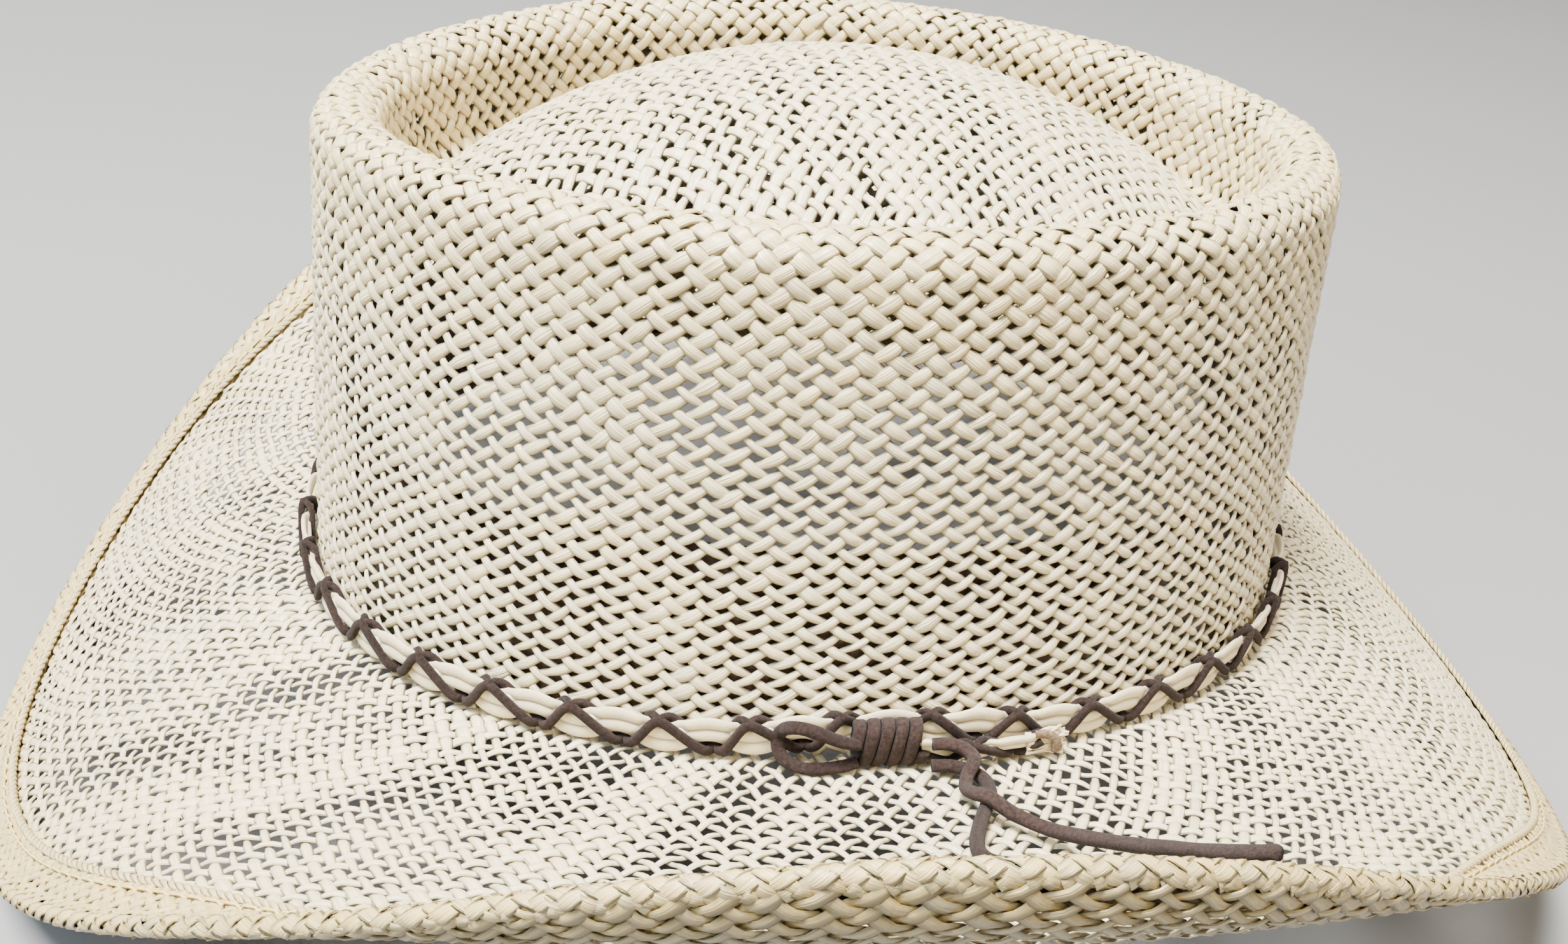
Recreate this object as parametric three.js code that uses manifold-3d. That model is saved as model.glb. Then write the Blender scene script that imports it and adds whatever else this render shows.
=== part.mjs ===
// Straw cowboy hat with a plaited leather hatband, standing on the front and back of its brim.
// Millimetres, +Z up. +X is the back of the hat, -X the front, -Y the side that carries the knot.
// Heights are first measured from the plane where crown meets brim, and the whole hat is lifted at the end.
// "turn" is the angle round the head in radians, 0 at the back and a quarter turn at +Y.
import * as THREE from 'three';
import Module from 'manifold-3d';
import { mergeVertices } from 'three/addons/utils/BufferGeometryUtils.js';

// Ovals are [half length, half width, power]: power 2 is an ellipse, and more is squarer.
const CROWN_BASE = [102.5, 82, 2.05];
const CROWN_RIM = [97, 71.5, 1.9];
const GUTTER = [78.5, 55, 2];
const BRIM_EDGE = [171, 156, 2];

// Crown: wall, rolled rim, gutter behind the rim and the dome in the middle of it.
const STRAW_THICKNESS = 1.4;
const BASE_SADDLE = 3;
const RIM_HEIGHT = 92;
const RIM_SADDLE = 1.5;
const RIM_ROLL = 6.5;
const GUTTER_HEIGHT = 70;
const VALLEY_RADIUS = 4;
const DOME_RISE = 30;
const DOME_FULLNESS = 0.88;

// Brim: a curve in each direction from the crown to an edge that is low in front and high at the sides.
const BRIM_THICKNESS = 1.1;
const EDGE_MEAN = -3;
const EDGE_SADDLE = 51;
const EDGE_RIPPLE = 3;
const BACK_QUARTER_DROP = 11;
const REACH_ENDS = 0.55;
const REACH_SIDES = 1.06;
const LEVEL_ENDS = 0.22;
const LEVEL_SIDES = 0.27;

// Hem: the brim's edge folded over a wire onto its top side.
const HEM_THICKNESS = 0.95;
const HEM_ROLL = 1.175;
const HEM_WIDTH = 9.5;
const HEM_LEG_START = 4.5;
const WIRE_RADIUS = 0.4;
const RIDGE_RADIUS = 0.8;
const THREAD_RADIUS = 0.3;
const REST_LAND_DEPTH = 0.5;

// Sweatband inside the crown.
const SWEATBAND_HEIGHT = 35;
const SWEATBAND_THICKNESS = 1;
const SWEATBAND_FOOT = 3.2;
const REED_RADIUS = 1.1;

// Hatband: two cream straps and a brown lace, one above the other.
const STRAND_HEIGHT = 2.1;
const STRAND_DEPTH = 2.4;
const BAND_LEVEL = 4.2;
const LACE_DIAMETER = 2.2;
const WRAP_TURNS = 5;
const WRAP_PITCH = 2.7;
const WRAP_HALF_HEIGHT = 4.35;
const WRAP_HALF_DEPTH = 2.45;
const WRAP_WALL = 0.6;

const GAP = 0.3;
const RING_STEPS = 56;
const FULL_TURN = 2 * Math.PI;
const KNOT_TURN = 1.5 * Math.PI;

const COLOURS = {
  straw: { color: 0xebe6d7, roughness: 0.45, metalness: 0 },
  hem: { color: 0xe1d2a5, roughness: 0.5, metalness: 0 },
  wire: { color: 0x9a9a9a, roughness: 0.35, metalness: 1 },
  sweatLeather: { color: 0x4a3226, roughness: 0.6, metalness: 0 },
  reed: { color: 0x2b1d16, roughness: 0.4, metalness: 0 },
  ribbon: { color: 0x2c211c, roughness: 0.5, metalness: 0 },
  label: { color: 0xd9d4c6, roughness: 0.7, metalness: 0 },
  creamLeather: { color: 0xe1d7be, roughness: 0.5, metalness: 0 },
  brownLace: { color: 0x4b3a34, roughness: 0.9, metalness: 0 },
};

const wasm = await Module();
wasm.setup();

// ---------------------------------------------------------------------------------------------------
// Closed solids from rows of points
// ---------------------------------------------------------------------------------------------------

function signedVolume(vertices, triangles) {
  let volume = 0;
  for (const [a, b, c] of triangles) {
    volume += vertices[a].dot(new THREE.Vector3().crossVectors(vertices[b], vertices[c])) / 6;
  }
  return volume;
}

// One closed body, its triangles turned so that they all face out.
function closedBody(vertices, triangles) {
  const flip = signedVolume(vertices, triangles) < 0;
  const index = triangles.flatMap(([a, b, c]) => (flip ? [a, c, b] : [a, b, c]));
  const geometry = new THREE.BufferGeometry().setFromPoints(vertices);
  geometry.setIndex(index);
  geometry.computeVertexNormals();
  return geometry;
}

// Two triangles between neighbouring rows of points, where each row closes on itself.
function joinRows(triangles, first, second, count) {
  for (let i = 0; i < count; i += 1) {
    const next = (i + 1) % count;
    triangles.push([first + i, second + i, second + next]);
    triangles.push([first + i, second + next, first + next]);
  }
}

// A ring round the head: sectionAt(turn) lists the points of its closed outline at that turn.
function ringSolid(sectionAt, steps = RING_STEPS) {
  const sections = [];
  for (let i = 0; i < steps; i += 1) {
    sections.push(sectionAt((FULL_TURN * i) / steps));
  }
  const count = sections[0].length;
  const triangles = [];
  for (let i = 0; i < steps; i += 1) {
    joinRows(triangles, i * count, ((i + 1) % steps) * count, count);
  }
  return closedBody(sections.flat(), triangles);
}

// A part of a ring, from one turn to another, with flat ends.
function stripSolid(sectionAt, from, to, steps) {
  const sections = [];
  for (let i = 0; i <= steps; i += 1) {
    sections.push(sectionAt(from + ((to - from) * i) / steps));
  }
  const count = sections[0].length;
  const triangles = [];
  for (let i = 0; i < steps; i += 1) {
    joinRows(triangles, i * count, (i + 1) * count, count);
  }
  const last = steps * count;
  for (let i = 1; i < count - 1; i += 1) {
    triangles.push([0, i, i + 1]);
    triangles.push([last, last + i + 1, last + i]);
  }
  return closedBody(sections.flat(), triangles);
}

// A cord of round section along a list of points, closed at both ends.
function cordSolid(points, diameter, steps) {
  const sides = 8;
  const outline = new THREE.Shape();
  for (let i = 0; i < sides; i += 1) {
    const angle = (FULL_TURN * i) / sides;
    const x = (diameter / 2) * Math.cos(angle);
    const y = (diameter / 2) * Math.sin(angle);
    if (i === 0) {
      outline.moveTo(x, y);
    } else {
      outline.lineTo(x, y);
    }
  }
  const route = new THREE.CatmullRomCurve3(points.map(([x, y, z]) => new THREE.Vector3(x, y, z)));
  return new THREE.ExtrudeGeometry(outline, { steps, bevelEnabled: false, extrudePath: route });
}

// ---------------------------------------------------------------------------------------------------
// Crown surface
// ---------------------------------------------------------------------------------------------------

function onOval([halfLength, halfWidth, power], turn, height) {
  const c = Math.cos(turn);
  const s = Math.sin(turn);
  const reach = (Math.abs(c) ** power + Math.abs(s) ** power) ** (-1 / power);
  return new THREE.Vector3(halfLength * c * reach, halfWidth * s * reach, height);
}

function shrunkOval([halfLength, halfWidth, power], by) {
  return [halfLength - by, halfWidth - by, power];
}

function scaledOval([halfLength, halfWidth, power], scale) {
  return [halfLength * scale, halfWidth * scale, power];
}

function mixedOval(first, second, share) {
  return first.map((value, i) => THREE.MathUtils.lerp(value, second[i], share));
}

// -1 at the front and back, +1 at the sides.
function saddle(turn) {
  return -Math.cos(2 * turn);
}

function shoulderHeight(turn) {
  return RIM_HEIGHT - RIM_ROLL + RIM_SADDLE * saddle(turn);
}

// The outer surface from the foot of the wall to the last ring before the top of the dome.
function crownLine(turn) {
  const line = [];
  const foot = BASE_SADDLE * saddle(turn);
  const shoulder = shoulderHeight(turn);
  for (const rise of [0, 0.35, 0.7]) {
    line.push(onOval(mixedOval(CROWN_BASE, CROWN_RIM, rise), turn, THREE.MathUtils.lerp(foot, shoulder, rise)));
  }
  for (const degrees of [0, 36, 72, 108, 144, 180]) {
    const angle = THREE.MathUtils.degToRad(degrees);
    const rim = shrunkOval(CROWN_RIM, RIM_ROLL * (1 - Math.cos(angle)));
    line.push(onOval(rim, turn, shoulder + RIM_ROLL * Math.sin(angle)));
  }
  for (const degrees of [30, 75, 125]) {
    const angle = THREE.MathUtils.degToRad(degrees);
    const valley = shrunkOval(GUTTER, -VALLEY_RADIUS * Math.cos(angle));
    line.push(onOval(valley, turn, GUTTER_HEIGHT + VALLEY_RADIUS * (1 - Math.sin(angle))));
  }
  for (const share of [0.93, 0.78, 0.55, 0.28]) {
    const height = GUTTER_HEIGHT + DOME_RISE * (1 - share ** 2) ** DOME_FULLNESS;
    line.push(onOval(scaledOval(GUTTER, share), turn, height));
  }
  return line;
}

// The unit vector across the surface at one point of a grid of lines.
function surfaceNormal(lines, i, j) {
  const before = lines[(i + lines.length - 1) % lines.length][j];
  const after = lines[(i + 1) % lines.length][j];
  const line = lines[i];
  const around = new THREE.Vector3().subVectors(after, before);
  const along = new THREE.Vector3().subVectors(line[Math.min(j + 1, line.length - 1)], line[Math.max(j - 1, 0)]);
  return new THREE.Vector3().crossVectors(around, along).normalize();
}

function crownSolid() {
  const outer = [];
  for (let i = 0; i < RING_STEPS; i += 1) {
    outer.push(crownLine((FULL_TURN * i) / RING_STEPS));
  }
  const inner = outer.map((line, i) => line.map((point, j) => {
    const across = surfaceNormal(outer, i, j);
    if (j === 0) {
      across.setZ(0).normalize();
    }
    return point.clone().addScaledVector(across, -STRAW_THICKNESS);
  }));
  const count = outer[0].length;
  const lineStart = (side, i) => (side * RING_STEPS + (i % RING_STEPS)) * count;
  const vertices = [...outer.flat(), ...inner.flat()];
  const outerTop = vertices.length;
  const innerTop = outerTop + 1;
  vertices.push(new THREE.Vector3(0, 0, GUTTER_HEIGHT + DOME_RISE));
  vertices.push(new THREE.Vector3(0, 0, GUTTER_HEIGHT + DOME_RISE - STRAW_THICKNESS));
  const triangles = [];
  for (let i = 0; i < RING_STEPS; i += 1) {
    for (const side of [0, 1]) {
      const here = lineStart(side, i);
      const there = lineStart(side, i + 1);
      const quads = [];
      for (let j = 0; j < count - 1; j += 1) {
        quads.push([here + j, there + j, there + j + 1]);
        quads.push([here + j, there + j + 1, here + j + 1]);
      }
      quads.push([here + count - 1, there + count - 1, side === 0 ? outerTop : innerTop]);
      triangles.push(...quads.map(([a, b, c]) => (side === 0 ? [a, b, c] : [a, c, b])));
    }
    triangles.push([lineStart(0, i), lineStart(1, i), lineStart(1, i + 1)]);
    triangles.push([lineStart(0, i), lineStart(1, i + 1), lineStart(0, i + 1)]);
  }
  return closedBody(vertices, triangles);
}

// A point beside the crown wall: height above the wall's foot, and distance out from its outer face.
function besideWall(turn, height, out) {
  const foot = BASE_SADDLE * saddle(turn);
  const rise = height / (shoulderHeight(turn) - foot);
  const wall = mixedOval(CROWN_BASE, CROWN_RIM, rise);
  const step = 0.001;
  const along = onOval(wall, turn + step, 0).sub(onOval(wall, turn - step, 0)).normalize();
  const point = onOval(wall, turn, foot + height);
  return point.add(new THREE.Vector3(along.y * out, -along.x * out, 0));
}

// A flat-sided outline beside the wall, between two heights and two distances from it.
function wallSection(turn, low, high, near, far) {
  return [
    besideWall(turn, low, near),
    besideWall(turn, low, far),
    besideWall(turn, high, far),
    besideWall(turn, high, near),
  ];
}

// A rounded outline beside the wall, with its middle at the given height and distance.
function wallRound(turn, height, out, halfHeight, halfDepth, sides = 6) {
  const outline = [];
  for (let i = 0; i < sides; i += 1) {
    const angle = (FULL_TURN * (i + 0.5)) / sides;
    outline.push(besideWall(turn, height + halfHeight * Math.sin(angle), out + halfDepth * Math.cos(angle)));
  }
  return outline;
}

// ---------------------------------------------------------------------------------------------------
// Brim surface
// ---------------------------------------------------------------------------------------------------

function edgeHeight(turn) {
  const ripple = EDGE_RIPPLE * Math.cos(4 * turn);
  const quarter = BACK_QUARTER_DROP * Math.cos(turn) * Math.sin(turn) ** 2;
  return EDGE_MEAN + EDGE_SADDLE * saddle(turn) + ripple - quarter;
}

// The middle of the brim's thickness, share 0 under the crown wall and 1 at the edge.
function brimMiddle(turn, share) {
  const side = Math.sin(turn) ** 2;
  const inner = onOval(CROWN_BASE, turn, BASE_SADDLE * saddle(turn) - GAP - BRIM_THICKNESS / 2);
  const edge = onOval(BRIM_EDGE, turn, edgeHeight(turn));
  const reach = THREE.MathUtils.lerp(REACH_ENDS, REACH_SIDES, side);
  const level = THREE.MathUtils.lerp(LEVEL_ENDS, LEVEL_SIDES, side);
  const pull = new THREE.Vector3(
    THREE.MathUtils.lerp(inner.x, edge.x, reach),
    THREE.MathUtils.lerp(inner.y, edge.y, reach),
    THREE.MathUtils.lerp(inner.z, edge.z, level),
  );
  return new THREE.QuadraticBezierCurve3(inner, pull, edge).getPoint(share);
}

// The share at a distance in from the edge, measured along the surface.
function shareFromEdge(turn, distance) {
  const steps = 60;
  let walked = 0;
  let previous = brimMiddle(turn, 1);
  for (let i = 1; i <= steps; i += 1) {
    const share = 1 - i / steps;
    const point = brimMiddle(turn, share);
    const length = point.distanceTo(previous);
    if (walked + length >= distance) {
      return share + (1 - (distance - walked) / length) / steps;
    }
    walked += length;
    previous = point;
  }
  return 0;
}

function brimUp(turn, share) {
  const step = 0.002;
  const outward = brimMiddle(turn, share + step).sub(brimMiddle(turn, share - step));
  const around = brimMiddle(turn + step, share).sub(brimMiddle(turn - step, share));
  return new THREE.Vector3().crossVectors(outward, around).normalize();
}

// A point near the edge: distance in from the edge along the surface, and height above its middle.
function nearEdge(turn, distance, above) {
  const share = shareFromEdge(turn, distance);
  return brimMiddle(turn, share).addScaledVector(brimUp(turn, share), above);
}

// Rows of the brim under the hem lie where the hem's own corners do, so that both bend together.
function brimSection(turn) {
  const openRows = 5;
  const half = BRIM_THICKNESS / 2;
  const underRidge = shareFromEdge(turn, HEM_WIDTH + GAP + 2 * RIDGE_RADIUS);
  const shares = [];
  for (let i = 1; i <= openRows; i += 1) {
    shares.push((underRidge * i) / openRows);
  }
  for (const distance of [HEM_WIDTH, HEM_LEG_START, HEM_ROLL + HEM_THICKNESS / 2 + GAP]) {
    shares.push(shareFromEdge(turn, distance));
  }
  const foot = brimMiddle(turn, 0);
  const lip = onOval(shrunkOval(CROWN_BASE, STRAW_THICKNESS), turn, foot.z);
  const top = [lip.clone().setZ(lip.z + half), foot.clone().setZ(foot.z + half)];
  const bottom = [lip.clone().setZ(lip.z - half), foot.clone().setZ(foot.z - half)];
  for (const share of shares) {
    const up = brimUp(turn, share);
    top.push(brimMiddle(turn, share).addScaledVector(up, half));
    bottom.push(brimMiddle(turn, share).addScaledVector(up, -half));
  }
  return [...top, ...bottom.reverse()];
}

// ---------------------------------------------------------------------------------------------------
// Hem
// ---------------------------------------------------------------------------------------------------

// The fold's outline starts at the lip that butts against the brim, goes round the wire and back inwards.
function hemSection(turn) {
  const outerRadius = HEM_ROLL + HEM_THICKNESS / 2;
  const innerRadius = HEM_ROLL - HEM_THICKNESS / 2;
  const legFoot = BRIM_THICKNESS / 2 + GAP;
  const outline = [];
  for (const degrees of [-90, -54, -18, 18, 54, 90]) {
    const angle = THREE.MathUtils.degToRad(degrees);
    const distance = outerRadius - outerRadius * Math.cos(angle);
    outline.push(nearEdge(turn, distance, HEM_ROLL + outerRadius * Math.sin(angle)));
  }
  outline.push(nearEdge(turn, HEM_LEG_START, legFoot + HEM_THICKNESS));
  outline.push(nearEdge(turn, HEM_WIDTH, legFoot + HEM_THICKNESS));
  outline.push(nearEdge(turn, HEM_WIDTH, legFoot));
  outline.push(nearEdge(turn, HEM_LEG_START, legFoot));
  for (const degrees of [90, 30, -30, -90]) {
    const angle = THREE.MathUtils.degToRad(degrees);
    const distance = outerRadius - innerRadius * Math.cos(angle);
    outline.push(nearEdge(turn, distance, HEM_ROLL + innerRadius * Math.sin(angle)));
  }
  return outline;
}

// A thin round ring that follows the edge.
function edgeRing(distance, above, radius, sides) {
  return ringSolid((turn) => {
    const outline = [];
    for (let i = 0; i < sides; i += 1) {
      const angle = (FULL_TURN * i) / sides;
      outline.push(nearEdge(turn, distance + radius * Math.cos(angle), above + radius * Math.sin(angle)));
    }
    return outline;
  });
}

function toManifold(geometry) {
  const bare = geometry.clone();
  bare.deleteAttribute('normal');
  const merged = mergeVertices(bare);
  return new wasm.Manifold(new wasm.Mesh({
    numProp: 3,
    vertProperties: new Float32Array(merged.attributes.position.array),
    triVerts: new Uint32Array(merged.index.array),
  }));
}

function fromManifold(solid) {
  const mesh = solid.getMesh();
  const geometry = new THREE.BufferGeometry();
  geometry.setAttribute('position', new THREE.BufferAttribute(new Float32Array(mesh.vertProperties), 3));
  geometry.setIndex(new THREE.BufferAttribute(new Uint32Array(mesh.triVerts), 1));
  return geometry;
}

// The hem worn flat where it stands, by a block whose top is the level of the surface under the hat.
function flattenBelow(geometry, level) {
  const reach = 2 * BRIM_EDGE[0] + 40;
  const depth = 20;
  const block = new THREE.BoxGeometry(reach, reach, depth).translate(0, 0, level - depth / 2);
  block.deleteAttribute('uv');
  return fromManifold(toManifold(geometry).subtract(toManifold(block)));
}

// ---------------------------------------------------------------------------------------------------
// Hatband
// ---------------------------------------------------------------------------------------------------

// 1 beside the knot and 0 elsewhere: there the band stands further off the wall, to let the wrap behind it.
function knotShare(turn) {
  const alongWall = CROWN_BASE[0] * Math.abs(Math.cos(turn));
  return Math.sin(turn) < 0 ? 1 - THREE.MathUtils.smoothstep(alongWall, 12, 36) : 0;
}

function bandLevel(turn) {
  return BAND_LEVEL + 0.7 * knotShare(turn);
}

function bandStandOff(turn) {
  return GAP + 1.9 * knotShare(turn);
}

// order is -1, 0 or 1 for the lowest, middle and highest strand.
function strandRing(order) {
  return ringSolid((turn) => {
    const height = bandLevel(turn) + order * (STRAND_HEIGHT + GAP);
    const out = bandStandOff(turn) + STRAND_DEPTH / 2;
    return wallRound(turn, height, out, STRAND_HEIGHT / 2, STRAND_DEPTH / 2);
  });
}

// The point of the band's middle at the knot, moved in to the middle of the wrap's hole.
function wrapCentre() {
  const middle = besideWall(KNOT_TURN, bandLevel(KNOT_TURN), bandStandOff(KNOT_TURN) + STRAND_DEPTH / 2);
  const settle = 0.15;
  return middle.add(new THREE.Vector3(0, settle, 0));
}

// Round turns of lace side by side, as one sleeve with a groove between each two turns.
function wrapSolid() {
  const centre = wrapCentre();
  const sides = 16;
  const cornerPower = 4;
  const grooveDepth = 0.3;
  const half = (WRAP_TURNS * WRAP_PITCH) / 2;
  const rings = [];
  const addRing = (x, halfHeight, halfDepth) => {
    const ring = [];
    for (let i = 0; i < sides; i += 1) {
      const point = onOval([halfDepth, halfHeight, cornerPower], (FULL_TURN * i) / sides, 0);
      ring.push(new THREE.Vector3(x, centre.y + point.x, centre.z + point.y));
    }
    rings.push(ring);
  };
  for (let i = 0; i < WRAP_TURNS; i += 1) {
    const start = -half + i * WRAP_PITCH;
    addRing(start, WRAP_HALF_HEIGHT - grooveDepth, WRAP_HALF_DEPTH - grooveDepth);
    addRing(start + WRAP_PITCH * 0.25, WRAP_HALF_HEIGHT, WRAP_HALF_DEPTH);
    addRing(start + WRAP_PITCH * 0.75, WRAP_HALF_HEIGHT, WRAP_HALF_DEPTH);
  }
  addRing(half, WRAP_HALF_HEIGHT - grooveDepth, WRAP_HALF_DEPTH - grooveDepth);
  addRing(half, WRAP_HALF_HEIGHT - WRAP_WALL, WRAP_HALF_DEPTH - WRAP_WALL);
  addRing(-half, WRAP_HALF_HEIGHT - WRAP_WALL, WRAP_HALF_DEPTH - WRAP_WALL);
  const triangles = [];
  rings.forEach((ring, i) => {
    joinRows(triangles, i * sides, ((i + 1) % rings.length) * sides, sides);
  });
  return closedBody(rings.flat(), triangles);
}

// The end of the plait that lies over it on the right of the wrap, from one place along X to another.
function overlapSolid(fromX, toX, startHalfHeight, endHalfHeight) {
  const turnAt = (x) => KNOT_TURN + Math.asin(x / CROWN_BASE[0]);
  const depth = 1.6;
  const level = 2.7;
  const from = turnAt(fromX);
  const to = turnAt(toX);
  return stripSolid((turn) => {
    const halfHeight = THREE.MathUtils.mapLinear(turn, from, to, startHalfHeight, endHalfHeight);
    const near = bandStandOff(turn) + STRAND_DEPTH + GAP;
    return wallRound(turn, level, near + depth / 2, halfHeight, depth / 2);
  }, from, to, 4);
}

// A tied ribbon bow, flat, with the middle of its back at the origin and its thickness along +Z.
function bowSolid(thickness) {
  const halfSpan = 9;
  const loopHalf = 4;
  const knotHalf = 1.6;
  const outline = new THREE.Shape();
  outline.moveTo(-knotHalf, -knotHalf);
  outline.lineTo(0, -knotHalf);
  outline.lineTo(knotHalf, -knotHalf);
  outline.lineTo(halfSpan - 1, -loopHalf);
  outline.quadraticCurveTo(halfSpan + 1, 0, halfSpan - 1, loopHalf);
  outline.lineTo(knotHalf, knotHalf);
  outline.lineTo(-knotHalf, knotHalf);
  outline.lineTo(-halfSpan + 1, loopHalf);
  outline.quadraticCurveTo(-halfSpan - 1, 0, -halfSpan + 1, -loopHalf);
  outline.closePath();
  return new THREE.ExtrudeGeometry(outline, { depth: thickness, bevelEnabled: false, curveSegments: 4 });
}

// ---------------------------------------------------------------------------------------------------
// The lace's loop and its two free ends, as points chosen along each
// ---------------------------------------------------------------------------------------------------

const LOOP_ROUTE = [
  [-7.1, -87.15, 10.1],
  [-9.2, -87.2, 10.6],
  [-13.0, -87.2, 11.8],
  [-16.0, -87.1, 11.6],
  [-18.2, -87.0, 9.8],
  [-18.7, -87.0, 8.0],
  [-18.2, -87.0, 6.2],
  [-16.0, -87.1, 5.2],
  [-13.0, -87.2, 5.1],
  [-9.2, -87.2, 5.5],
  [-7.1, -87.15, 5.7],
];
const LONG_TAIL_ROUTE = [
  [7.1, -87.9, 9.8],
  [9.6, -88.0, 9.8],
  [12.0, -88.7, 9.5],
  [13.5, -90.4, 9.1],
  [13.3, -92.2, 9.1],
  [11.8, -94.3, 8.1],
  [10.9, -97.2, 8.0],
  [11.2, -100.4, 9.9],
  [12.8, -103.6, 11.7],
  [15.8, -107.2, 11.4],
  [20.3, -111.6, 12.0],
  [23.6, -118.0, 16.2],
  [27.1, -127.0, 23.2],
  [29.3, -132.9, 28.3],
  [31.3, -138.9, 33.5],
  [33.4, -144.4, 38.6],
  [35.4, -148.0, 42.2],
];
const SHORT_TAIL_ROUTE = [
  [7.1, -89.4, 6.2],
  [9.6, -89.5, 6.2],
  [11.6, -90.1, 6.2],
  [13.9, -91.9, 6.4],
  [15.1, -94.6, 7.0],
  [14.7, -98.6, 7.9],
  [13.0, -102.3, 8.8],
  [10.4, -107.4, 10.1],
  [8.2, -112.6, 11.7],
  [7.3, -116.4, 12.9],
  [7.8, -119.2, 13.8],
  [9.4, -121.0, 14.6],
];

// ---------------------------------------------------------------------------------------------------
// Assembly
// ---------------------------------------------------------------------------------------------------

const hat = new THREE.Group();

function addPart(name, geometry, finish) {
  const mesh = new THREE.Mesh(geometry, new THREE.MeshStandardMaterial(COLOURS[finish]));
  mesh.name = name;
  hat.add(mesh);
  return mesh;
}

function addStraw() {
  addPart('crown', crownSolid(), 'straw');
  addPart('brim', ringSolid(brimSection), 'straw');
}

// Returns the level of the surface that the hem stands on.
function addHem() {
  const fold = ringSolid(hemSection);
  fold.computeBoundingBox();
  const standLevel = fold.boundingBox.min.z + REST_LAND_DEPTH;
  const legTop = BRIM_THICKNESS / 2 + GAP + HEM_THICKNESS;
  const ridgeDistance = HEM_WIDTH + GAP + RIDGE_RADIUS;
  addPart('brim_hem_fold', flattenBelow(fold, standLevel), 'hem');
  addPart('brim_wire', edgeRing(HEM_ROLL + HEM_THICKNESS / 2, HEM_ROLL, WIRE_RADIUS, 5), 'wire');
  addPart('hem_ridge_cord', edgeRing(ridgeDistance, BRIM_THICKNESS / 2 + GAP + RIDGE_RADIUS, RIDGE_RADIUS, 6), 'hem');
  addPart('hem_thread', edgeRing(HEM_WIDTH - 1, legTop + GAP + THREAD_RADIUS, THREAD_RADIUS, 4), 'hem');
  return standLevel;
}

function addSweatband() {
  const face = -(STRAW_THICKNESS + GAP);
  const inside = face - SWEATBAND_THICKNESS;
  const top = SWEATBAND_FOOT + SWEATBAND_HEIGHT;
  const halfSeam = 0.006;
  const stitchHeight = SWEATBAND_FOOT + 4;
  const leather = (turn) => wallSection(turn, SWEATBAND_FOOT, top, inside, face);
  addPart('sweatband', stripSolid(leather, halfSeam, FULL_TURN - halfSeam, RING_STEPS), 'sweatLeather');

  const reedOut = face - REED_RADIUS;
  const reedHeight = SWEATBAND_FOOT - GAP - REED_RADIUS;
  const reed = (turn) => wallRound(turn, reedHeight, reedOut, REED_RADIUS, REED_RADIUS);
  addPart('sweatband_reed', ringSolid(reed), 'reed');

  const threadOut = inside - GAP - THREAD_RADIUS;
  const thread = (turn) => wallRound(turn, stitchHeight, threadOut, THREAD_RADIUS, THREAD_RADIUS, 4);
  addPart('sweatband_thread', ringSolid(thread), 'ribbon');

  const bowHeight = 16;
  const bowThickness = 1.2;
  const wallCurve = 0.8;
  const bow = addPart('sweatband_bow', bowSolid(bowThickness), 'ribbon');
  const back = besideWall(0, bowHeight, inside - GAP);
  bow.rotation.set(Math.PI / 2, 0, Math.PI / 2, 'ZXY');
  bow.position.set(back.x - wallCurve - bowThickness, 0, back.z);

  const labelThickness = 0.4;
  const labelNear = inside - GAP;
  const label = (turn) => wallSection(turn, 12, 24, labelNear - labelThickness, labelNear);
  addPart('size_tab', stripSolid(label, 0.2, 0.46, 4), 'label');
}

function addHatband() {
  addPart('cream_strap_lower', strandRing(-1), 'creamLeather');
  addPart('brown_lace', strandRing(0), 'brownLace');
  addPart('cream_strap_upper', strandRing(1), 'creamLeather');
  addPart('wrap_coil', wrapSolid(), 'brownLace');
  addPart('lace_loop', cordSolid(LOOP_ROUTE, LACE_DIAMETER, 12), 'brownLace');
  addPart('band_overlap_end', overlapSolid(7.1, 28, 1.6, 1.6), 'creamLeather');
  addPart('frayed_end', overlapSolid(28.4, 34, 1.6, 0.8), 'creamLeather');
  addPart('long_tail', cordSolid(LONG_TAIL_ROUTE, LACE_DIAMETER, 30), 'brownLace');
  addPart('short_tail', cordSolid(SHORT_TAIL_ROUTE, LACE_DIAMETER, 16), 'brownLace');
}

addStraw();
const standLevel = addHem();
addSweatband();
addHatband();
hat.position.z = -standLevel;

export default hat;
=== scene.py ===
# Looks of the straw cowboy hat: real interlaced strands, a plaited hatband, leather and thread.
# Sizes are in millimetres until a mesh is made, and heights are measured from the plane where crown
# meets brim, as in the frame. "turn" is the angle round the head, 0 at the back (+X).
import math

import bpy
import numpy as np
from mathutils import Matrix, Vector


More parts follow.
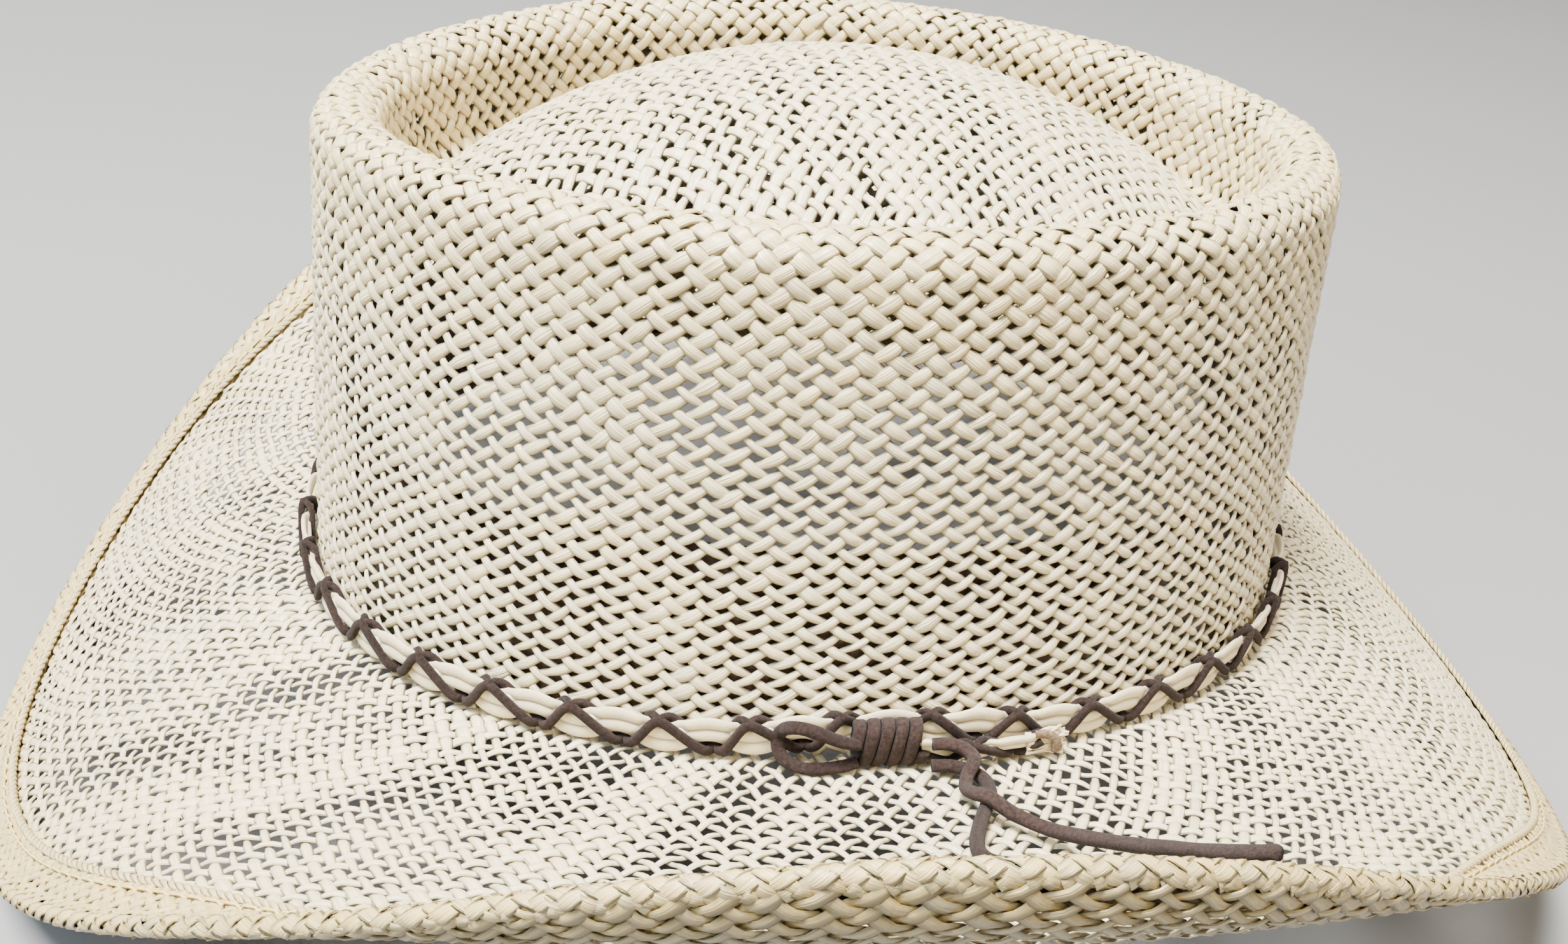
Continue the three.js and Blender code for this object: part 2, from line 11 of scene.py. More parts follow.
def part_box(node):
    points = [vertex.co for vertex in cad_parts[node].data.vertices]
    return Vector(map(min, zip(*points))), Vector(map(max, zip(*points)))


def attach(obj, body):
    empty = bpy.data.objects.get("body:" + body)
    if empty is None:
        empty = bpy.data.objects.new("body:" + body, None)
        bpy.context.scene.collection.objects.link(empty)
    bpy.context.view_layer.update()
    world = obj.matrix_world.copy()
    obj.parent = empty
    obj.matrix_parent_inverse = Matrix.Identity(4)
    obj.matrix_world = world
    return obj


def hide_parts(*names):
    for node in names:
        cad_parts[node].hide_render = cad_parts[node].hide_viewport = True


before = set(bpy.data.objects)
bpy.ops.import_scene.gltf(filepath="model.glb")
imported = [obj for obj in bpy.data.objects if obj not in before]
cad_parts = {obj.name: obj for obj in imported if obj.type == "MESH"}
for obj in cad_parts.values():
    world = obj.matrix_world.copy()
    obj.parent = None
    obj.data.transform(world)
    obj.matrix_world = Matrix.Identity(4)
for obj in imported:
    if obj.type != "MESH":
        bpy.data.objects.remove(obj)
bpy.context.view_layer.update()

MM = 0.001
TAU = 2 * math.pi

# ---- Driving sizes, the same as the frame's ----
crown_low, crown_high = (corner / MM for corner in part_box("crown"))
BASE_SADDLE = 3
RIM_SADDLE = 1.5
LIFT = crown_low.z + BASE_SADDLE
CROWN_BASE = (crown_high.x, crown_high.y, 2.05)
CROWN_RIM = (97, 71.5, 1.9)
GUTTER = (78.5, 55, 2)
BRIM_EDGE = (171, 156, 2)
RIM_HEIGHT = 92
RIM_ROLL = 6.5
GUTTER_HEIGHT = 70
VALLEY_RADIUS = 4
DOME_RISE = crown_high.z - LIFT - GUTTER_HEIGHT
DOME_FULLNESS = 0.88
STRAW_THICKNESS = 1.4
BRIM_THICKNESS = 1.1
GAP = 0.3
EDGE_MEAN, EDGE_SADDLE, EDGE_RIPPLE, BACK_QUARTER_DROP = -3, 51, 3, 11
REACH_ENDS, REACH_SIDES = 0.55, 1.06
LEVEL_ENDS, LEVEL_SIDES = 0.22, 0.27
HEM_ROLL = 1.175
HEM_WIDTH = 9.5
HEM_LEG_START = 4.5
SWEATBAND_FOOT, SWEATBAND_HEIGHT, SWEATBAND_THICKNESS = 3.2, 35, 1.0


# ---- Surfaces, as functions of arrays ----
def unit(v):
    return v / (np.linalg.norm(v, axis=-1, keepdims=True) + 1e-12)


def lerp(a, b, share):
    return a + (b - a) * share


def arrays(*values):
    """The values as arrays of numbers with one shape."""
    return np.broadcast_arrays(*(np.asarray(value, float) for value in values))


def on_oval(turn, half_length, half_width, power):
    c, s = np.cos(turn), np.sin(turn)
    reach = (np.abs(c) ** power + np.abs(s) ** power) ** (-1.0 / power)
    return half_length * c * reach, half_width * s * reach


def saddle(turn):
    return -np.cos(2 * turn)


def shoulder_height(turn):
    return RIM_HEIGHT - RIM_ROLL + RIM_SADDLE * saddle(turn)


# The crown's outer surface by distance along its line: wall, rim roll, inner wall and valley.
WALL_END = 88.0
RIM_END = WALL_END + math.pi * RIM_ROLL
INNER_END = RIM_END + 13.6
VALLEY_END = INNER_END + 4.2
VALLEY_START_ANGLE = math.radians(30)


def crown_point(turn, along):
    turn, along = arrays(turn, along)
    rise = np.clip(along / WALL_END, 0, 1)
    roll = np.clip((along - WALL_END) / (RIM_END - WALL_END), 0, 1) * math.pi
    inner = np.clip((along - RIM_END) / (INNER_END - RIM_END), 0, 1)
    valley = np.clip((along - INNER_END) / (VALLEY_END - INNER_END), 0, 1)
    angle = lerp(VALLEY_START_ANGLE, math.pi / 2, valley)
    shrink = RIM_ROLL * (1 - np.cos(roll))
    rim = along > WALL_END
    half_length = np.where(rim, CROWN_RIM[0] - shrink, lerp(CROWN_BASE[0], CROWN_RIM[0], rise))
    half_width = np.where(rim, CROWN_RIM[1] - shrink, lerp(CROWN_BASE[1], CROWN_RIM[1], rise))
    power = np.where(rim, CROWN_RIM[2], lerp(CROWN_BASE[2], CROWN_RIM[2], rise))
    shoulder = shoulder_height(turn)
    wall_height = lerp(BASE_SADDLE * saddle(turn), shoulder, rise)
    height = np.where(rim, shoulder + RIM_ROLL * np.sin(roll), wall_height)
    # below the rim, towards the gutter
    foot_spread = VALLEY_RADIUS * np.cos(angle)
    foot_height = GUTTER_HEIGHT + VALLEY_RADIUS * (1 - np.sin(angle))
    half_length = lerp(half_length, GUTTER[0] + foot_spread, inner)
    half_width = lerp(half_width, GUTTER[1] + foot_spread, inner)
    power = lerp(power, GUTTER[2], inner)
    height = lerp(height, foot_height, inner)
    x, y = on_oval(turn, half_length, half_width, power)
    return np.stack([x, y, height], -1)


def edge_height(turn):
    quarter = BACK_QUARTER_DROP * np.cos(turn) * np.sin(turn) ** 2
    return EDGE_MEAN + EDGE_SADDLE * saddle(turn) + EDGE_RIPPLE * np.cos(4 * turn) - quarter


def brim_middle(turn, share):
    """The middle of the brim's thickness, share 0 under the crown wall and 1 at the edge."""
    turn, share = arrays(turn, share)
    side = np.sin(turn) ** 2
    x0, y0 = on_oval(turn, *CROWN_BASE)
    z0 = BASE_SADDLE * saddle(turn) - GAP - BRIM_THICKNESS / 2
    x2, y2 = on_oval(turn, *BRIM_EDGE)
    z2 = edge_height(turn)
    reach = lerp(REACH_ENDS, REACH_SIDES, side)
    level = lerp(LEVEL_ENDS, LEVEL_SIDES, side)
    a, b, c = (1 - share) ** 2, 2 * share * (1 - share), share ** 2
    return np.stack([
        a * x0 + b * lerp(x0, x2, reach) + c * x2,
        a * y0 + b * lerp(y0, y2, reach) + c * y2,
        a * z0 + b * lerp(z0, z2, level) + c * z2,
    ], -1)


# Distance along the brim against share, for evenly spaced turns.
TABLE_TURNS = np.linspace(0, TAU, 361)
TABLE_SHARES = np.linspace(0, 1, 101)
BRIM_GRID = brim_middle(TABLE_TURNS[:, None], TABLE_SHARES[None, :])
BRIM_STEPS = np.linalg.norm(np.diff(BRIM_GRID, axis=1), axis=-1)
BRIM_WALK = np.concatenate([np.zeros((len(TABLE_TURNS), 1)), np.cumsum(BRIM_STEPS, 1)], 1)


def at_turn(values, turn):
    """A value tabled against turn, for any turns."""
    return np.interp(np.mod(turn, TAU), TABLE_TURNS, values)


EVEN_SHARES = np.linspace(0, 1, 201)
SHARES_AT_PARTS = np.stack([np.interp(EVEN_SHARES * walk[-1], walk, TABLE_SHARES) for walk in BRIM_WALK])


def brim_at(turn, part):
    """The brim's middle at a part, 0 to 1, of the way from crown to edge measured along it."""
    turn, part = arrays(turn, part)
    i = np.mod(turn, TAU) / TAU * (len(TABLE_TURNS) - 1)
    j = np.clip(part, 0, 1) * (len(EVEN_SHARES) - 1)
    i0 = np.minimum(i.astype(int), len(TABLE_TURNS) - 2)
    j0 = np.minimum(j.astype(int), len(EVEN_SHARES) - 2)
    fi, fj = i - i0, j - j0
    table = SHARES_AT_PARTS
    share = ((1 - fi) * ((1 - fj) * table[i0, j0] + fj * table[i0, j0 + 1])
             + fi * ((1 - fj) * table[i0 + 1, j0] + fj * table[i0 + 1, j0 + 1]))
    return brim_middle(turn, share)


def near_edge(turn, distance, above):
    """A point near the edge: distance in along the surface, and height above the brim's middle."""
    turn, distance, above = arrays(turn, distance, above)
    width = at_turn(BRIM_WALK[:, -1], turn)
    surface = lambda t, d: brim_at(t, 1 - d / width)
    return surface(turn, distance) + normals(surface, turn, distance) * above[..., None]


def normals(surface, turn, along, flip=False):
    """Unit vectors across surface(turn, along), whose along is in millimetres."""
    around = surface(turn + 0.004, along) - surface(turn - 0.004, along)
    forward = surface(turn, along + 0.4) - surface(turn, along - 0.4)
    across = unit(np.cross(around, forward))
    return -across if flip else across


def beside_wall(turn, height, out):
    """A point beside the crown's wall: height above its foot, and distance out from it."""
    turn, height, out = arrays(turn, height, out)
    foot = BASE_SADDLE * saddle(turn)
    rise = height / (shoulder_height(turn) - foot)
    size = [lerp(CROWN_BASE[i], CROWN_RIM[i], rise) for i in range(3)]
    ahead, behind = on_oval(turn + 0.002, *size), on_oval(turn - 0.002, *size)
    around = unit(np.stack([ahead[0] - behind[0], ahead[1] - behind[1]], -1))
    x, y = on_oval(turn, *size)
    return np.stack([x + around[..., 1] * out, y - around[..., 0] * out, foot + height], -1)


# ---- Meshes ----
def add_object(name, data):
    """The data as a named object in the scene."""
    obj = bpy.data.objects.new(name, data)
    bpy.context.scene.collection.objects.link(obj)
    return obj


class Sheaf:
    """Many closed strands gathered into one mesh."""

    def __init__(self):
        self.vertices, self.faces, self.tints, self.uvs = [], [], [], []
        self.count = 0

    def add_tube(self, rings, tint, run, closed=False):
        """rings is (steps, sides, 3), tint (steps, sides, 3) or simpler, run the length along, (steps,)."""
        steps, sides = rings.shape[:2]
        base = self.count + np.arange(steps * sides).reshape(steps, sides)
        first = base if closed else base[:-1]
        second = np.roll(base, -1, 0) if closed else base[1:]
        quads = np.stack([first, np.roll(first, -1, 1), np.roll(second, -1, 1), second], -1)
        self.faces.append(quads.reshape(-1, 4))
        if not closed:
            self.faces.append(self.caps(base[0], base[-1]))
        tint = np.asarray(tint)
        if tint.ndim == 2:
            tint = tint[:, None, :]
        around = np.broadcast_to(np.arange(sides) / sides, (steps, sides))
        along = np.broadcast_to(run[:, None], (steps, sides))
        self.vertices.append(rings.reshape(-1, 3))
        self.tints.append(np.broadcast_to(tint, (steps, sides, 3)).reshape(-1, 3))
        self.uvs.append(np.stack([around, along], -1).reshape(-1, 2))
        self.count += steps * sides

    @staticmethod
    def caps(start, end):
        """Quads that close both ends of a tube with an even number of sides."""
        faces = []
        last = len(start) - 1
        for k in range(len(start) // 2 - 1):
            faces.append([start[k], start[last - k], start[last - 1 - k], start[k + 1]])
            faces.append([end[k], end[k + 1], end[last - 1 - k], end[last - k]])
        return np.array(faces)

    def build(self, name, material, body, slot, *nodes):
        """The mesh as an object that rides a body, takes the material as its finish and stands for CAD
        nodes, which it hides. The slot is not used.
        """
        vertices = np.concatenate(self.vertices) * MM
        vertices[:, 2] = np.maximum(vertices[:, 2] + LIFT * MM, 0.0)
        quads = np.concatenate(self.faces)
        mesh = bpy.data.meshes.new(name)
        mesh.vertices.add(len(vertices))
        mesh.vertices.foreach_set("co", vertices.astype(np.float32).ravel())
        mesh.loops.add(quads.size)
        mesh.loops.foreach_set("vertex_index", quads.ravel().astype(np.int32))
        mesh.polygons.add(len(quads))
        mesh.polygons.foreach_set("loop_start", np.arange(0, quads.size, 4, dtype=np.int32))
        mesh.polygons.foreach_set("use_smooth", np.ones(len(quads), bool))
        mesh.update(calc_edges=True)
        tint = mesh.attributes.new("tint", "FLOAT_COLOR", "POINT")
        colours = np.ones((len(vertices), 4), np.float32)
        colours[:, :3] = np.concatenate(self.tints)
        tint.data.foreach_set("color", colours.ravel())
        uv = mesh.uv_layers.new(name="strand")
        flat = np.concatenate(self.uvs).astype(np.float32)[quads.ravel()]
        uv.data.foreach_set("uv", flat.ravel())
        mesh.materials.append(material)
        obj = add_object(name, mesh)
        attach(obj, body)
        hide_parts(*nodes)
        return obj


def build_tube(rings, tint, run, closed, *build):
    """One strand as an object of its own. The last values are Sheaf.build's."""
    sheaf = Sheaf()
    sheaf.add_tube(rings, tint, run, closed=closed)
    return sheaf.build(*build)


# Outline of a flattened strand across its width: (share of width, share of thickness).
STRAND_OUTLINE = np.array([
    (-0.5, -0.12), (-0.29, 0.32), (0.0, 0.5), (0.29, 0.32), (0.5, -0.12), (0.0, -0.42)])
# Painted shade on the tint at each point of that outline: darker along both edges and beneath,
# and darkest on the side of the crown's strands that faces the head.
EDGE_PAINTED_SHADE = np.array([0.50, 1.0, 1.08, 1.0, 0.50, 0.70])
INNER_PAINTED_SHADE = np.array([0.50, 1.0, 1.08, 1.0, 0.50, 0.30])


def strand_rings(points, up, width, thickness, outline=STRAND_OUTLINE, closed=False):
    """Rings of a flat strand along points (..., steps, 3) with its face towards up."""
    if closed:
        along = unit(np.roll(points, -1, -2) - np.roll(points, 1, -2))
    else:
        along = unit(np.gradient(points, axis=-2))
    side = unit(np.cross(along, up))
    face = unit(np.cross(side, along))
    steps = points.shape[:-1]
    across = (outline[:, 0] * np.broadcast_to(width, steps)[..., None])[..., None]
    through = (outline[:, 1] * np.broadcast_to(thickness, steps)[..., None])[..., None]
    return points[..., None, :] + across * side[..., None, :] + through * face[..., None, :]


def run_length(points):
    """Distance along points (..., steps, 3)."""
    steps = np.linalg.norm(np.diff(points, axis=-2), axis=-1)
    return np.concatenate([np.zeros(steps.shape[:-1] + (1,)), np.cumsum(steps, -1)], -1)


def smooth_route(corners, steps):
    """A Catmull-Rom curve through the corners, evenly spaced along its length."""
    corners = np.asarray(corners, float)
    padded = np.concatenate([[2 * corners[0] - corners[1]], corners, [2 * corners[-1] - corners[-2]]])
    fine = []
    for i in range(len(corners) - 1):
        p0, p1, p2, p3 = padded[i:i + 4]
        t = np.linspace(0, 1, 24, endpoint=False)[:, None]
        fine.append(0.5 * (2 * p1 + (p2 - p0) * t + (2 * p0 - 5 * p1 + 4 * p2 - p3) * t ** 2
                           + (3 * p1 - p0 - 3 * p2 + p3) * t ** 3))
    fine = np.concatenate(fine + [corners[-1:]])
    run = run_length(fine)
    even = np.linspace(0, run[-1], steps)
    return np.stack([np.interp(even, run, fine[:, i]) for i in range(3)], -1)


# ---- Materials ----
def new_material(name, colour, **settings):
    material = bpy.data.materials.new(name)
    material.use_nodes = True
    shader = material.node_tree.nodes["Principled BSDF"]
    shader.inputs["Base Color"].default_value = (*colour, 1)
    for socket, value in settings.items():
        shader.inputs[socket.replace("_", " ")].default_value = value
    return material, material.node_tree, shader


def add_node(tree, kind, **values):
    node = tree.nodes.new(kind)
    for key, value in values.items():
        if key in node.inputs:
            node.inputs[key].default_value = value
        else:
            setattr(node, key, value)
    return node


def strand_noise(tree, around, along, detail=3.0):
    """Noise over a strand's own surface: around and along are its scales, per turn and per millimetre."""
    uv = add_node(tree, "ShaderNodeUVMap", uv_map="strand")
    mapping = add_node(tree, "ShaderNodeMapping", Scale=(around, along, 1))
    noise = add_node(tree, "ShaderNodeTexNoise", Scale=1.0, Detail=detail)
    tree.links.new(uv.outputs["UV"], mapping.inputs["Vector"])
    tree.links.new(mapping.outputs["Vector"], noise.inputs["Vector"])
    return noise.outputs["Fac"]


def solid_noise(tree, per_metre, detail=4.0):
    """Noise through space, on the piece's own coordinates."""
    place = add_node(tree, "ShaderNodeTexCoord")
    noise = add_node(tree, "ShaderNodeTexNoise", Scale=per_metre, Detail=detail, Roughness=0.6)
    tree.links.new(place.outputs["Object"], noise.inputs["Vector"])
    return noise.outputs["Fac"]


def spread(tree, value, low, high, start=0.3, end=0.7):
    """The value, from start to end, spread over low to high."""
    ramp = add_node(tree, "ShaderNodeMapRange")
    ramp.inputs["From Min"].default_value = start
    ramp.inputs["From Max"].default_value = end
    ramp.inputs["To Min"].default_value = low
    ramp.inputs["To Max"].default_value = high
    tree.links.new(value, ramp.inputs["Value"])
    return ramp.outputs["Result"]


def multiply_colour(tree, colour, factor):
    mix = add_node(tree, "ShaderNodeMix", data_type="RGBA", blend_type="MULTIPLY")
    mix.inputs["Factor"].default_value = 1.0
    tree.links.new(colour, mix.inputs[6])
    tree.links.new(factor, mix.inputs[7])
    return mix.outputs[2]


def add_bump(tree, shader, height, strength, distance):
    bump = add_node(tree, "ShaderNodeBump", Strength=strength, Distance=distance)
    tree.links.new(height, bump.inputs["Height"])
    tree.links.new(bump.outputs["Normal"], shader.inputs["Normal"])


def tinted_material(name, colour, grain, shades, relief, roughness, bump_strength, bump_distance,
                    **settings):
    """A material whose colour is the mesh's tint times a grain, which is spread over the shades.
    The relief makes the bumps and the roughness. Both are a noise function and its values."""
    material, tree, shader = new_material(name, colour, **settings)
    tint = add_node(tree, "ShaderNodeAttribute", attribute_name="tint")
    shade = spread(tree, grain[0](tree, *grain[1:]), *shades)
    tree.links.new(multiply_colour(tree, tint.outputs["Color"], shade), shader.inputs["Base Color"])
    height = relief[0](tree, *relief[1:])
    tree.links.new(spread(tree, height, *roughness), shader.inputs["Roughness"])
    add_bump(tree, shader, height, bump_strength, bump_distance)
    return material


WHITE_STRAW = np.array((0.70, 0.610, 0.395))
# Warm straw, towards the rim and edge and in the hem: its yellower tone is the straw's own, and part of its
# darkness is painted shade.
WARM_STRAW = np.array((0.60, 0.450, 0.180))
CREAM_LEATHER = np.array((0.71, 0.600, 0.390))
SUEDE = np.array((0.018, 0.0108, 0.0090))
FRAYED_BROWN = np.array((0.17, 0.115, 0.075))
SWEAT_LEATHER = np.array((0.060, 0.035, 0.022))
DARK_THREAD = np.array((0.035, 0.028, 0.025))
RIBBON = np.array((0.16, 0.10, 0.06))
LABEL = np.array((0.72, 0.69, 0.62))
STEEL = (0.55, 0.55, 0.56)

STRAW, HEM_STRAW = (
    tinted_material(name, colour, (strand_noise, 11.0, 0.14), shades, (strand_noise, 16.0, 0.09),
                    (0.22, 0.42), 0.8, 0.0004, Specular_IOR_Level=0.6)
    for name, colour, shades in (("straw", WHITE_STRAW, (0.74, 1.04)),
                                 ("hem_straw", WARM_STRAW, (0.62, 1.0))))
STRAP = tinted_material(
    "cream_leather", CREAM_LEATHER, (solid_noise, 900.0), (0.90, 1.04), (solid_noise, 3200.0),
    (0.62, 0.80), 0.35, 0.0002, Sheen_Weight=0.15, Sheen_Roughness=0.5)
LACE = tinted_material(
    "brown_suede", SUEDE, (solid_noise, 1500.0), (0.55, 1.7), (solid_noise, 4200.0),
    (0.82, 1.0), 0.8, 0.0004, Sheen_Weight=0.04, Sheen_Roughness=0.45, Specular_IOR_Level=0.12)
SWEAT = tinted_material(
    "sweat_leather", SWEAT_LEATHER, (solid_noise, 260.0), (0.8, 1.2), (solid_noise, 1800.0),
    (0.38, 0.55), 0.3, 0.0003)
THREAD = tinted_material(
    "dark_thread", DARK_THREAD, (strand_noise, 3.0, 4.0), (0.7, 1.4), (strand_noise, 3.0, 5.0),
    (0.55, 0.75), 0.6, 0.0001)
HEM_THREAD = tinted_material(
    "hem_thread", WHITE_STRAW, (strand_noise, 3.0, 4.0), (0.85, 1.05), (strand_noise, 3.0, 5.0),
    (0.45, 0.65), 0.6, 0.0001)
BOW = tinted_material(
    "ribbon", RIBBON, (strand_noise, 30.0, 0.5), (0.8, 1.2), (strand_noise, 40.0, 6.0),
    (0.35, 0.5), 0.3, 0.00008)
TAB = tinted_material(
    "label", LABEL, (solid_noise, 2500.0), (0.9, 1.05), (solid_noise, 6000.0),
    (0.7, 0.85), 0.4, 0.0001)
# Material, body and slot of the hatband's laces and straps.
LACE_PIECE = LACE, "hatband", "brown_suede"
STRAP_PIECE = STRAP, "hatband", "cream_leather"


def steel_material():
    material, tree, shader = new_material("edge_wire", STEEL, Metallic=1.0, Roughness=0.35)
    wear = solid_noise(tree, 1200.0)
    tree.links.new(spread(tree, wear, 0.28, 0.45), shader.inputs["Roughness"])
    return material


# ---- Camera, light and floor ----
def add_camera():
    """In front of the knot's side, a little towards the hat's front and looking down on it."""
    eye = Vector((-63.06, -282.78, 184.74 + LIFT)) * MM
    right = Vector((0.98388, -0.15727, 0.08516))
    forward = Vector((0.17778, 0.80822, -0.56140))
    up = right.cross(forward).normalized()
    data = bpy.data.cameras.new("camera")
    data.sensor_width = 36
    data.lens = 36.0
    data.shift_x = -0.0075
    data.shift_y = 0.0542
    data.clip_start = 0.01
    camera = add_object("camera", data)
    camera.matrix_world = Matrix.Translation(eye) @ Matrix((right, up, -forward)).transposed().to_4x4()
    bpy.context.scene.camera = camera


def add_area(name, position, size, power, colour):
    """A square lamp that faces the middle of the hat."""
    data = bpy.data.lights.new(name, "AREA")
    data.shape = "RECTANGLE"
    data.size = data.size_y = size
    data.energy = power
    data.color = colour
    lamp = add_object(name, data)
    lamp.location = position
    lamp.rotation_euler = (AIM - Vector(position)).to_track_quat("-Z", "Y").to_euler()


FLOOR_REACH = 4.0
FLOOR_GREY = (0.20, 0.20, 0.20)
SKY = (0.94, 0.97, 1.0, 1)
SKY_STRENGTH = 0.15
AIM = Vector((0, 0, 0.08))


def add_stage():
    mesh = bpy.data.meshes.new("floor")
    corners = [(x * FLOOR_REACH, y * FLOOR_REACH, 0) for x, y in ((-1, -1), (1, -1), (1, 1), (-1, 1))]
    mesh.from_pydata(corners, [], [(0, 1, 2, 3)])
    floor = add_object("floor", mesh)
    material, _, _ = new_material("floor", FLOOR_GREY, Roughness=0.8, Specular_IOR_Level=0.1)
    mesh.materials.append(material)
    world = bpy.data.worlds.new("world")
    bpy.context.scene.world = world
    world.use_nodes = True
    background = world.node_tree.nodes["Background"]
    background.inputs["Color"].default_value = SKY
    background.inputs["Strength"].default_value = SKY_STRENGTH
    add_area("key", (-0.40, -0.22, 1.45), 0.5, 162, (1.0, 0.985, 0.95))
    add_area("window", (-0.95, -0.45, 1.05), 0.8, 20, (0.68, 0.84, 1.0))
    add_area("fill", (0.75, -0.75, 1.20), 0.8, 24, (1.0, 0.87, 0.68))


# ---- Weave ----
random = np.random.RandomState(7)
SUB_STEPS = 3               # points on a strand from one crossing to the next
STEEPEST = 0.93             # largest sine of a strand's slant
STRAND_SWAY = 0.19          # sideways, each strand on its own
PATCH_SWAY = 0.38           # sideways, neighbours together
STRAND_BOB = 0.06           # in and out
WIDTH_SPREAD = 0.09         # share of its width by which one strand differs from another
OVER_SWELL = 0.11           # share by which a strand is wider where it passes over
RUN_OFFSETS = 900           # range of each strand's start in the streaks of the straw


def level_positions(length, ring_length, count, pitch):
    """Distances along a surface of the rows of crossings of two slanting families of strands."""
    positions = [0.0]
    while positions[-1] < length:
        part = positions[-1] / length
        spacing = ring_length(part) / count
        slope = math.asin(min(pitch(part) / spacing, STEEPEST))
        positions.append(positions[-1] + spacing / 2 * math.tan(slope))
    return np.array(positions) * length / positions[-1]


def wander(shape, scale, wavelengths=(7, 17, 41)):
    """Smooth random values along the last axis, one row per strand. Wavelengths are in crossings."""
    rows, steps = shape
    x = np.arange(steps)[None, :] / SUB_STEPS
    total = np.zeros(shape)
    for wavelength in wavelengths:
        phase = random.uniform(0, TAU, (rows, 1))
        total += random.normal(0, 1, (rows, 1)) * np.sin(TAU * x / wavelength + phase)
    return total * scale


def patches(seed):
    """A smooth random field over turn and distance along, about -1 to 1, for tighter and looser patches."""
    draw = np.random.RandomState(seed)
    waves = [(draw.randint(4, 34), draw.uniform(0.04, 0.34), draw.uniform(0, TAU)) for _ in range(14)]

    def field(turn, along):
        return sum(np.sin(k * turn + m * along + phase) for k, m, phase in waves) / math.sqrt(len(waves))
    return field


def slanting_family(surface, levels, count, direction, width, thickness, lift, middle, tint, sheaves,
                    flip, loose, shades=EDGE_PAINTED_SHADE):
    """One family of strands that climb a surface at a slant, over and under the other family.
    The sheaves share the strands between them."""
    steps = (len(levels) - 1) * SUB_STEPS + 1
    x = np.arange(steps) / SUB_STEPS
    along = np.repeat(np.interp(x, np.arange(len(levels)), levels)[None, :], count, 0)
    turn = TAU * np.arange(count)[:, None] / count + direction * math.pi * x[None, :] / count
    ring = np.linalg.norm(surface(turn + 0.005, along) - surface(turn - 0.005, along), axis=-1) / 0.01
    sway = wander((count, steps), STRAND_SWAY) + PATCH_SWAY * patches(11 + direction)(turn, along)
    turn = turn + sway / ring
    points = surface(turn, along)
    up = normals(surface, turn, along, flip)
    wave = direction * np.cos(math.pi * x)[None, :]
    height = middle + lift * wave + wander((count, steps), STRAND_BOB)
    points = points + up * height[..., None]
    slub = wander((count, steps), 0.05, (2.3, 5, 13))
    broad = width(along) * (1 + random.normal(0, WIDTH_SPREAD, (count, 1)) + slub)
    broad = broad * (1 - loose * patches(3)(turn, along)) * (1 + OVER_SWELL * wave)
    rings = strand_rings(points, up, broad, thickness)
    colours = tint(turn, along, random.normal(0, 1, (count, 1)) + wander((count, steps), 0.3))
    # painted shade round each strand's outline, from the shades
    colours = colours[..., None, :] * shades[:, None]
    run = run_length(points) + random.uniform(0, RUN_OFFSETS, (count, 1))
    for i in range(count):
        sheaves[i * len(sheaves) // count].add_tube(rings[i], colours[i], run[i])


def straw_tint(warmth):
    """Each strand's colour between white and warm, by warmth(turn, along) and its own noise."""
    def tint(turn, along, noise):
        warm = np.clip(warmth(turn, along) + 0.10 * noise, 0, 1)[..., None]
        return lerp(WHITE_STRAW, WARM_STRAW, warm) * (1 + 0.045 * noise)[..., None]
    return tint


WEAVE_PIECES = 4            # objects that share a surface's strands, two for each slant


def weave_surface(name, slot, node, material, stops, widths, warmths, **family):
    """Two slanting families over a surface, with widths and warmths at stops along it."""
    family["width"] = lambda along: np.interp(along, stops, widths)
    family["tint"] = straw_tint(lambda turn, along: np.interp(along, stops, warmths))
    sheaves = [Sheaf() for _ in range(WEAVE_PIECES)]
    half = WEAVE_PIECES // 2
    slanting_family(direction=1, sheaves=sheaves[:half], **family)
    slanting_family(direction=-1, sheaves=sheaves[half:], **family)
    for i, sheaf in enumerate(sheaves):
        sheaf.build(f"{name}_{i + 1}", material, "hat", slot, node)


CROWN_STRANDS = 108


def build_crown_weave():
    ring = lambda part: float(np.interp(part, [0, 0.70, 0.80, 1.0], [580, 530, 490, 425]))
    levels = level_positions(VALLEY_END, ring, CROWN_STRANDS, lambda part: 3.12)
    weave_surface(
        "crown_weave", "straw", "crown", STRAW, stops=[0, 12, 60, 84, 100, VALLEY_END],
        widths=[2.0, 1.95, 2.1, 2.5, 2.5, 2.2], warmths=[0.05, 0.06, 0.12, 0.42, 0.55, 0.60],
        surface=crown_point, levels=levels, count=CROWN_STRANDS, thickness=0.80, lift=0.40,
        middle=-STRAW_THICKNESS / 2, flip=False, loose=0.10, shades=INNER_PAINTED_SHADE)


DOME_ANGLE = math.radians(50)
DOME_PITCH = 3.1
DOME_TURNING = 0.005
DOME_EDGE = 1.03
DOME_REACH = 48             # strands of a family each way from the middle
DOME_GRID_RADIUS = 130
DOME_STRAND_WIDTH, DOME_STRAND_THICKNESS, DOME_LIFT = 2.35, 0.76, 0.34
DOME_WIDENING = 0.006       # growth of a strand's width with each millimetre of Y
DOME_WARMTH = 0.10


def dome_height(x, y):
    share = np.clip((x / GUTTER[0]) ** 2 + (y / GUTTER[1]) ** 2, 0, 1)
    return GUTTER_HEIGHT + DOME_RISE * (1 - share) ** DOME_FULLNESS


def dome_normal(x, y):
    step = 0.5
    slope_x = (dome_height(x + step, y) - dome_height(x - step, y)) / (2 * step)
    slope_y = (dome_height(x, y + step) - dome_height(x, y - step)) / (2 * step)
    return unit(np.stack([-slope_x, -slope_y, np.ones_like(x)], -1))


